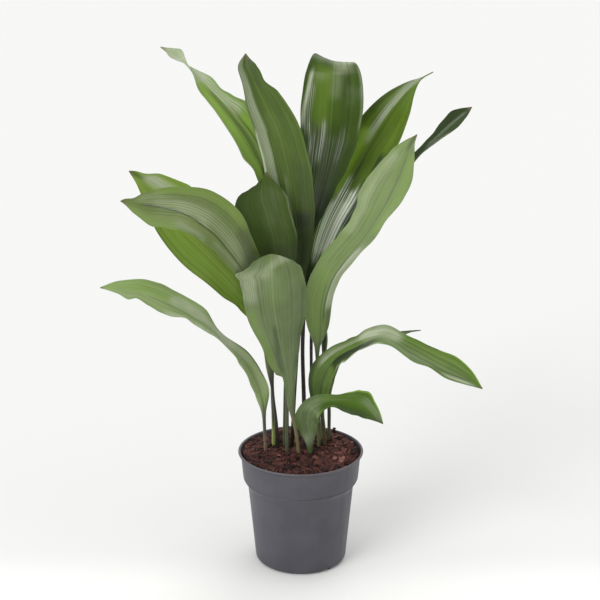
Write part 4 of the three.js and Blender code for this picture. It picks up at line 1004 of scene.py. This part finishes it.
def soil_height(s, x, y):
    """The height of the soil under the bark, lumpy and lower in the middle, as watering leaves it."""
    crown = s.crown * (1 - (x * x + y * y) / SOIL_RADIUS**2)
    # Lumps some 60 mm apart, each row of them bent by the other.
    lumps = np.sin(95 * x + 1.7 * np.sin(70 * y)) * np.sin(110 * y + 1.3 * np.sin(80 * x))
    return s.level + crown + SOIL_LUMP * lumps


class PLANT_OT_soil(bpy.types.Operator):
    """Make the body of soil that fills the pot"""

    bl_idname = "plant.soil"
    bl_label = "Soil"

    def execute(self, context):
        s, pot = context.scene.plant_soil, context.scene.plant_pot
        gap = 0.0006
        turns, rings = 120, 41
        off = pot.wall + gap
        corner = pot.corner - pot.wall
        edge = np.interp(
            s.level, [pot.collar_foot_height, pot.height - pot.lip_drop],
            [pot.collar_foot_radius, pot.collar_top_radius]) - off
        wall = [
            (0.0, POT_FLOOR + gap),
            *arc(pot.foot_radius - off - corner, POT_FLOOR + gap + corner, corner, -90, 0, 4),
            (pot.shoulder_radius - off, pot.shoulder_height),
            (pot.collar_foot_radius - off, pot.collar_foot_height),
        ]
        top = [(edge * (1 - share), s.level) for share in np.linspace(0, 1, rings)]
        profile = np.array(wall + top)
        angles = np.linspace(0, 2 * math.pi, turns + 1)[None, :]
        radius, height = profile[:, :1], profile[:, 1:]
        x, y = radius * np.cos(angles), radius * np.sin(angles)
        z = np.where(height < s.level, height, soil_height(s, x, y))
        piece = grid_of(np.stack([x, y, z], axis=2), "potting_soil")
        close_up(0.01 * MM)
        piece.data.materials.append(soil_material(tuple(s.dark), tuple(s.red)))
        settle(piece, "bark_soil", "soil")
        return {"FINISHED"}


# Where the bark was broken last and is paler and coarser, as places on the soil in metres, and how
# far each such patch reaches.
FRESH_BARK = ((-0.074, 0.014), (0.074, -0.012), (0.044, -0.036), (0.056, 0.042))
FRESH_REACH = 0.021

# One chip leans on the lip at the back: its place, its size and its tilt.
OVER_RIM = ((0.052, 0.0755, 0.179), (0.008, 0.003, 0.006), (0.5, 0.4))

# The least and the greatest height of each layer of chips above the soil, and its usual tone.
LAYERS = {"bark_lower": (0.0, 0.0015, 0.16), "bark_upper": (0.001, 0.0036, 0.3)}
UPPER_SHARE = 0.6
# How far the middle of a chip keeps from a stalk's middle and from the pot's wall.
CLEAR_OF_STALK, CLEAR_OF_WALL = 0.0055, 0.0035
CHIP_SHAPES = 9


class PLANT_OT_bark(bpy.types.Operator):
    """Scatter the bark chips over the soil"""

    bl_idname = "plant.bark"
    bl_label = "Bark chips"

    def chip_shape(self, chance):
        """One piece of bark 1 m across, later scaled to a flake: a cube cut up once and roughened."""
        rough = 0.14
        deselect()
        bpy.ops.mesh.primitive_cube_add(size=1)
        chip = added("bark_chip")
        bpy.ops.object.mode_set(mode="EDIT")
        bpy.ops.mesh.select_all(action="SELECT")
        bpy.ops.mesh.subdivide(number_cuts=1, smoothness=chance.uniform(0.2, 0.7))
        bpy.ops.object.mode_set(mode="OBJECT")
        for vertex in chip.data.vertices:
            vertex.co += Vector(chance.uniform(-rough, rough, 3))
        return chip

    def execute(self, context):
        s, pot = context.scene.plant_soil, context.scene.plant_pot
        chance = np.random.default_rng(12)
        shapes = [self.chip_shape(chance) for _ in range(CHIP_SHAPES)]
        feet = np.array([rows[0][:2] for rows in ROWS.values()]) * MM
        material = bark_material(tuple(s.dark), tuple(s.red), tuple(s.pale))
        edge = pot.collar_top_radius - pot.wall - CLEAR_OF_WALL
        groups = {layer: [] for layer in LAYERS}
        while sum(map(len, groups.values())) < s.chips:
            radius = edge * math.sqrt(chance.uniform(0, 1))
            angle = chance.uniform(0, 2 * math.pi)
            x, y = radius * math.cos(angle), radius * math.sin(angle)
            if np.min(np.hypot(feet[:, 0] - x, feet[:, 1] - y)) < CLEAR_OF_STALK:
                continue
            layer = "bark_upper" if chance.uniform() < UPPER_SHARE else "bark_lower"
            off = [((x - a) ** 2 + (y - b) ** 2) / FRESH_REACH**2 for a, b in FRESH_BARK]
            fresh = min(1.0, sum(math.exp(-square) for square in off))
            # Fresh patches are up to 45 % coarser, and chips near the wall are small enough for it.
            size = s.chip_length * float(np.clip(chance.lognormal(-0.05, 0.4), 0.4, 1.9))
            size = min(size * (1 + 0.45 * fresh), 1.6 * (edge - radius) + 0.005)
            scale = (size, size * chance.uniform(0.45, 0.85), size * chance.uniform(0.2, 0.45))
            lift = chance.uniform(*LAYERS[layer][:2])
            tilt = chance.normal(0, 0.3, 2)
            turn = chance.uniform(0, 2 * math.pi)
            place = (x, y, float(soil_height(s, x, y)) + lift)
            if not groups["bark_upper"]:
                layer = "bark_upper"
                place, scale, tilt = OVER_RIM
            turned = Matrix.Rotation(turn, 4, "Z") @ Matrix.Rotation(tilt[0], 4, "X")
            turned = turned @ Matrix.Rotation(tilt[1], 4, "Y")
            mesh = shapes[chance.integers(len(shapes))].data.copy()
            mesh.transform(Matrix.Translation(place) @ turned @ Matrix.Diagonal((*scale, 1)))
            value = chance.normal(LAYERS[layer][2], 0.17) + 0.3 * fresh * chance.uniform(0, 1)
            tones = np.full(len(mesh.vertices), float(np.clip(value, 0.02, 1)))
            mesh.attributes.new("tone", "FLOAT", "POINT").data.foreach_set("value", tones)
            chip = bpy.data.objects.new("chip", mesh)
            context.scene.collection.objects.link(chip)
            groups[layer].append(chip)
        for shape in shapes:
            bpy.data.objects.remove(shape)
        for name, chips in groups.items():
            deselect()
            for chip in chips:
                chip.select_set(True)
            context.view_layer.objects.active = chips[0]
            bpy.ops.object.join()
            piece = added(name)
            piece.data.materials.append(material)
            settle(piece, "bark_soil", angle=25)
        return {"FINISHED"}


class PLANT_OT_rhizome(bpy.types.Operator):
    """Finish the rhizome, whose solid is kept"""

    bl_idname = "plant.rhizome"
    bl_label = "Rhizome"

    def execute(self, context):
        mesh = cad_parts["rhizome"].data
        mesh.materials.clear()
        mesh.materials.append(rhizome_material())
        return {"FINISHED"}


class PLANT_OT_leaves(bpy.types.Operator):
    """Make the leaves, each with its stalk"""

    bl_idname = "plant.leaves"
    bl_label = "Leaves"

    def execute(self, context):
        for seed, name in enumerate(ROWS):
            make_leaf(name, seed, context.scene.plant_leaf)
        return {"FINISHED"}


class PLANT_OT_stage(bpy.types.Operator):
    """Set the floor, the light and the camera"""

    bl_idname = "plant.stage"
    bl_label = "Stage"

    def execute(self, context):
        s = context.scene.plant_stage
        deselect()
        # Wide enough that the camera never sees its edge from the front.
        bpy.ops.mesh.primitive_circle_add(vertices=128, radius=16, fill_type="NGON", location=(0, 0, 0))
        floor = added("studio_floor")
        floor.data.materials.append(floor_material(tuple(s.floor_front), tuple(s.floor)))
        context.scene.world = self.room(s)
        context.scene.view_settings.view_transform = "Standard"
        self.soft_light("key_left", (-1.0, -1.15, 1.0), 32, s.key)
        self.soft_light("rim_back", (0.5, 1.0, 1.3), 40, s.rim)
        bpy.ops.object.camera_add(location=s.place, rotation=(math.pi / 2 - s.pitch, 0, 0))
        camera = bpy.context.active_object
        camera.name = "photo_camera"
        camera.data.lens = s.lens
        camera.data.sensor_width = 36
        context.scene.camera = camera
        return {"FINISHED"}

    def room(self, s):
        """A white room, which is darker behind the camera and brighter overhead."""
        world = bpy.data.worlds.new("studio_room")
        world.use_nodes = True
        tree = world.node_tree
        way = axes(tree, add_node(tree, "ShaderNodeTexCoord").outputs["Generated"])
        front = ranged(tree, way["Y"], -0.9, 0.2, s.front * s.sky, s.sky)
        overhead = ranged(tree, way["Z"], 0.0, 0.9, 0.9, 1.25)
        strength = maths(tree, "MULTIPLY", front, overhead)
        fill(tree, tree.nodes["Background"], {"Color": (1, 1, 1, 1), "Strength": strength})
        return world

    def soft_light(self, name, place, spread, power):
        """A far, soft light that comes from a place and looks so many degrees wide."""
        bpy.ops.object.light_add(type="SUN", location=place)
        light = bpy.context.active_object
        light.name = name
        light.data.energy = power
        light.data.angle = math.radians(spread)
        light.rotation_euler = (-Vector(place)).to_track_quat("-Z", "Y").to_euler()


class PLANT_PT_panel(bpy.types.Panel):
    """Lists the plant's settings and the steps that make it"""

    bl_idname = "PLANT_PT_panel"
    bl_label = "Potted cast iron plant"
    bl_space_type = "VIEW_3D"
    bl_region_type = "UI"
    bl_category = "Plant"

    def draw(self, context):
        for operator in OPERATORS:
            self.layout.operator(operator.bl_idname)
        for group in GROUPS:
            box = self.layout.box()
            settings = getattr(context.scene, group)
            for name in settings.__annotations__:
                box.prop(settings, name)


GROUPS = {
    "plant_pot": PotSettings,
    "plant_soil": SoilSettings,
    "plant_leaf": LeafSettings,
    "plant_stage": StageSettings,
}
OPERATORS = (PLANT_OT_pot, PLANT_OT_soil, PLANT_OT_bark, PLANT_OT_rhizome, PLANT_OT_leaves, PLANT_OT_stage)
CLASSES = (*GROUPS.values(), *OPERATORS, PLANT_PT_panel)


def register():
    for kind in CLASSES:
        bpy.utils.register_class(kind)
    for name, kind in GROUPS.items():
        setattr(bpy.types.Scene, name, PointerProperty(type=kind))


def unregister():
    for name in GROUPS:
        delattr(bpy.types.Scene, name)
    for kind in reversed(CLASSES):
        bpy.utils.unregister_class(kind)


def main():
    register()
    bpy.ops.plant.stage()
    bpy.ops.plant.pot()
    bpy.ops.plant.soil()
    bpy.ops.plant.bark()
    bpy.ops.plant.rhizome()
    bpy.ops.plant.leaves()


if __name__ == "__main__":
    main()
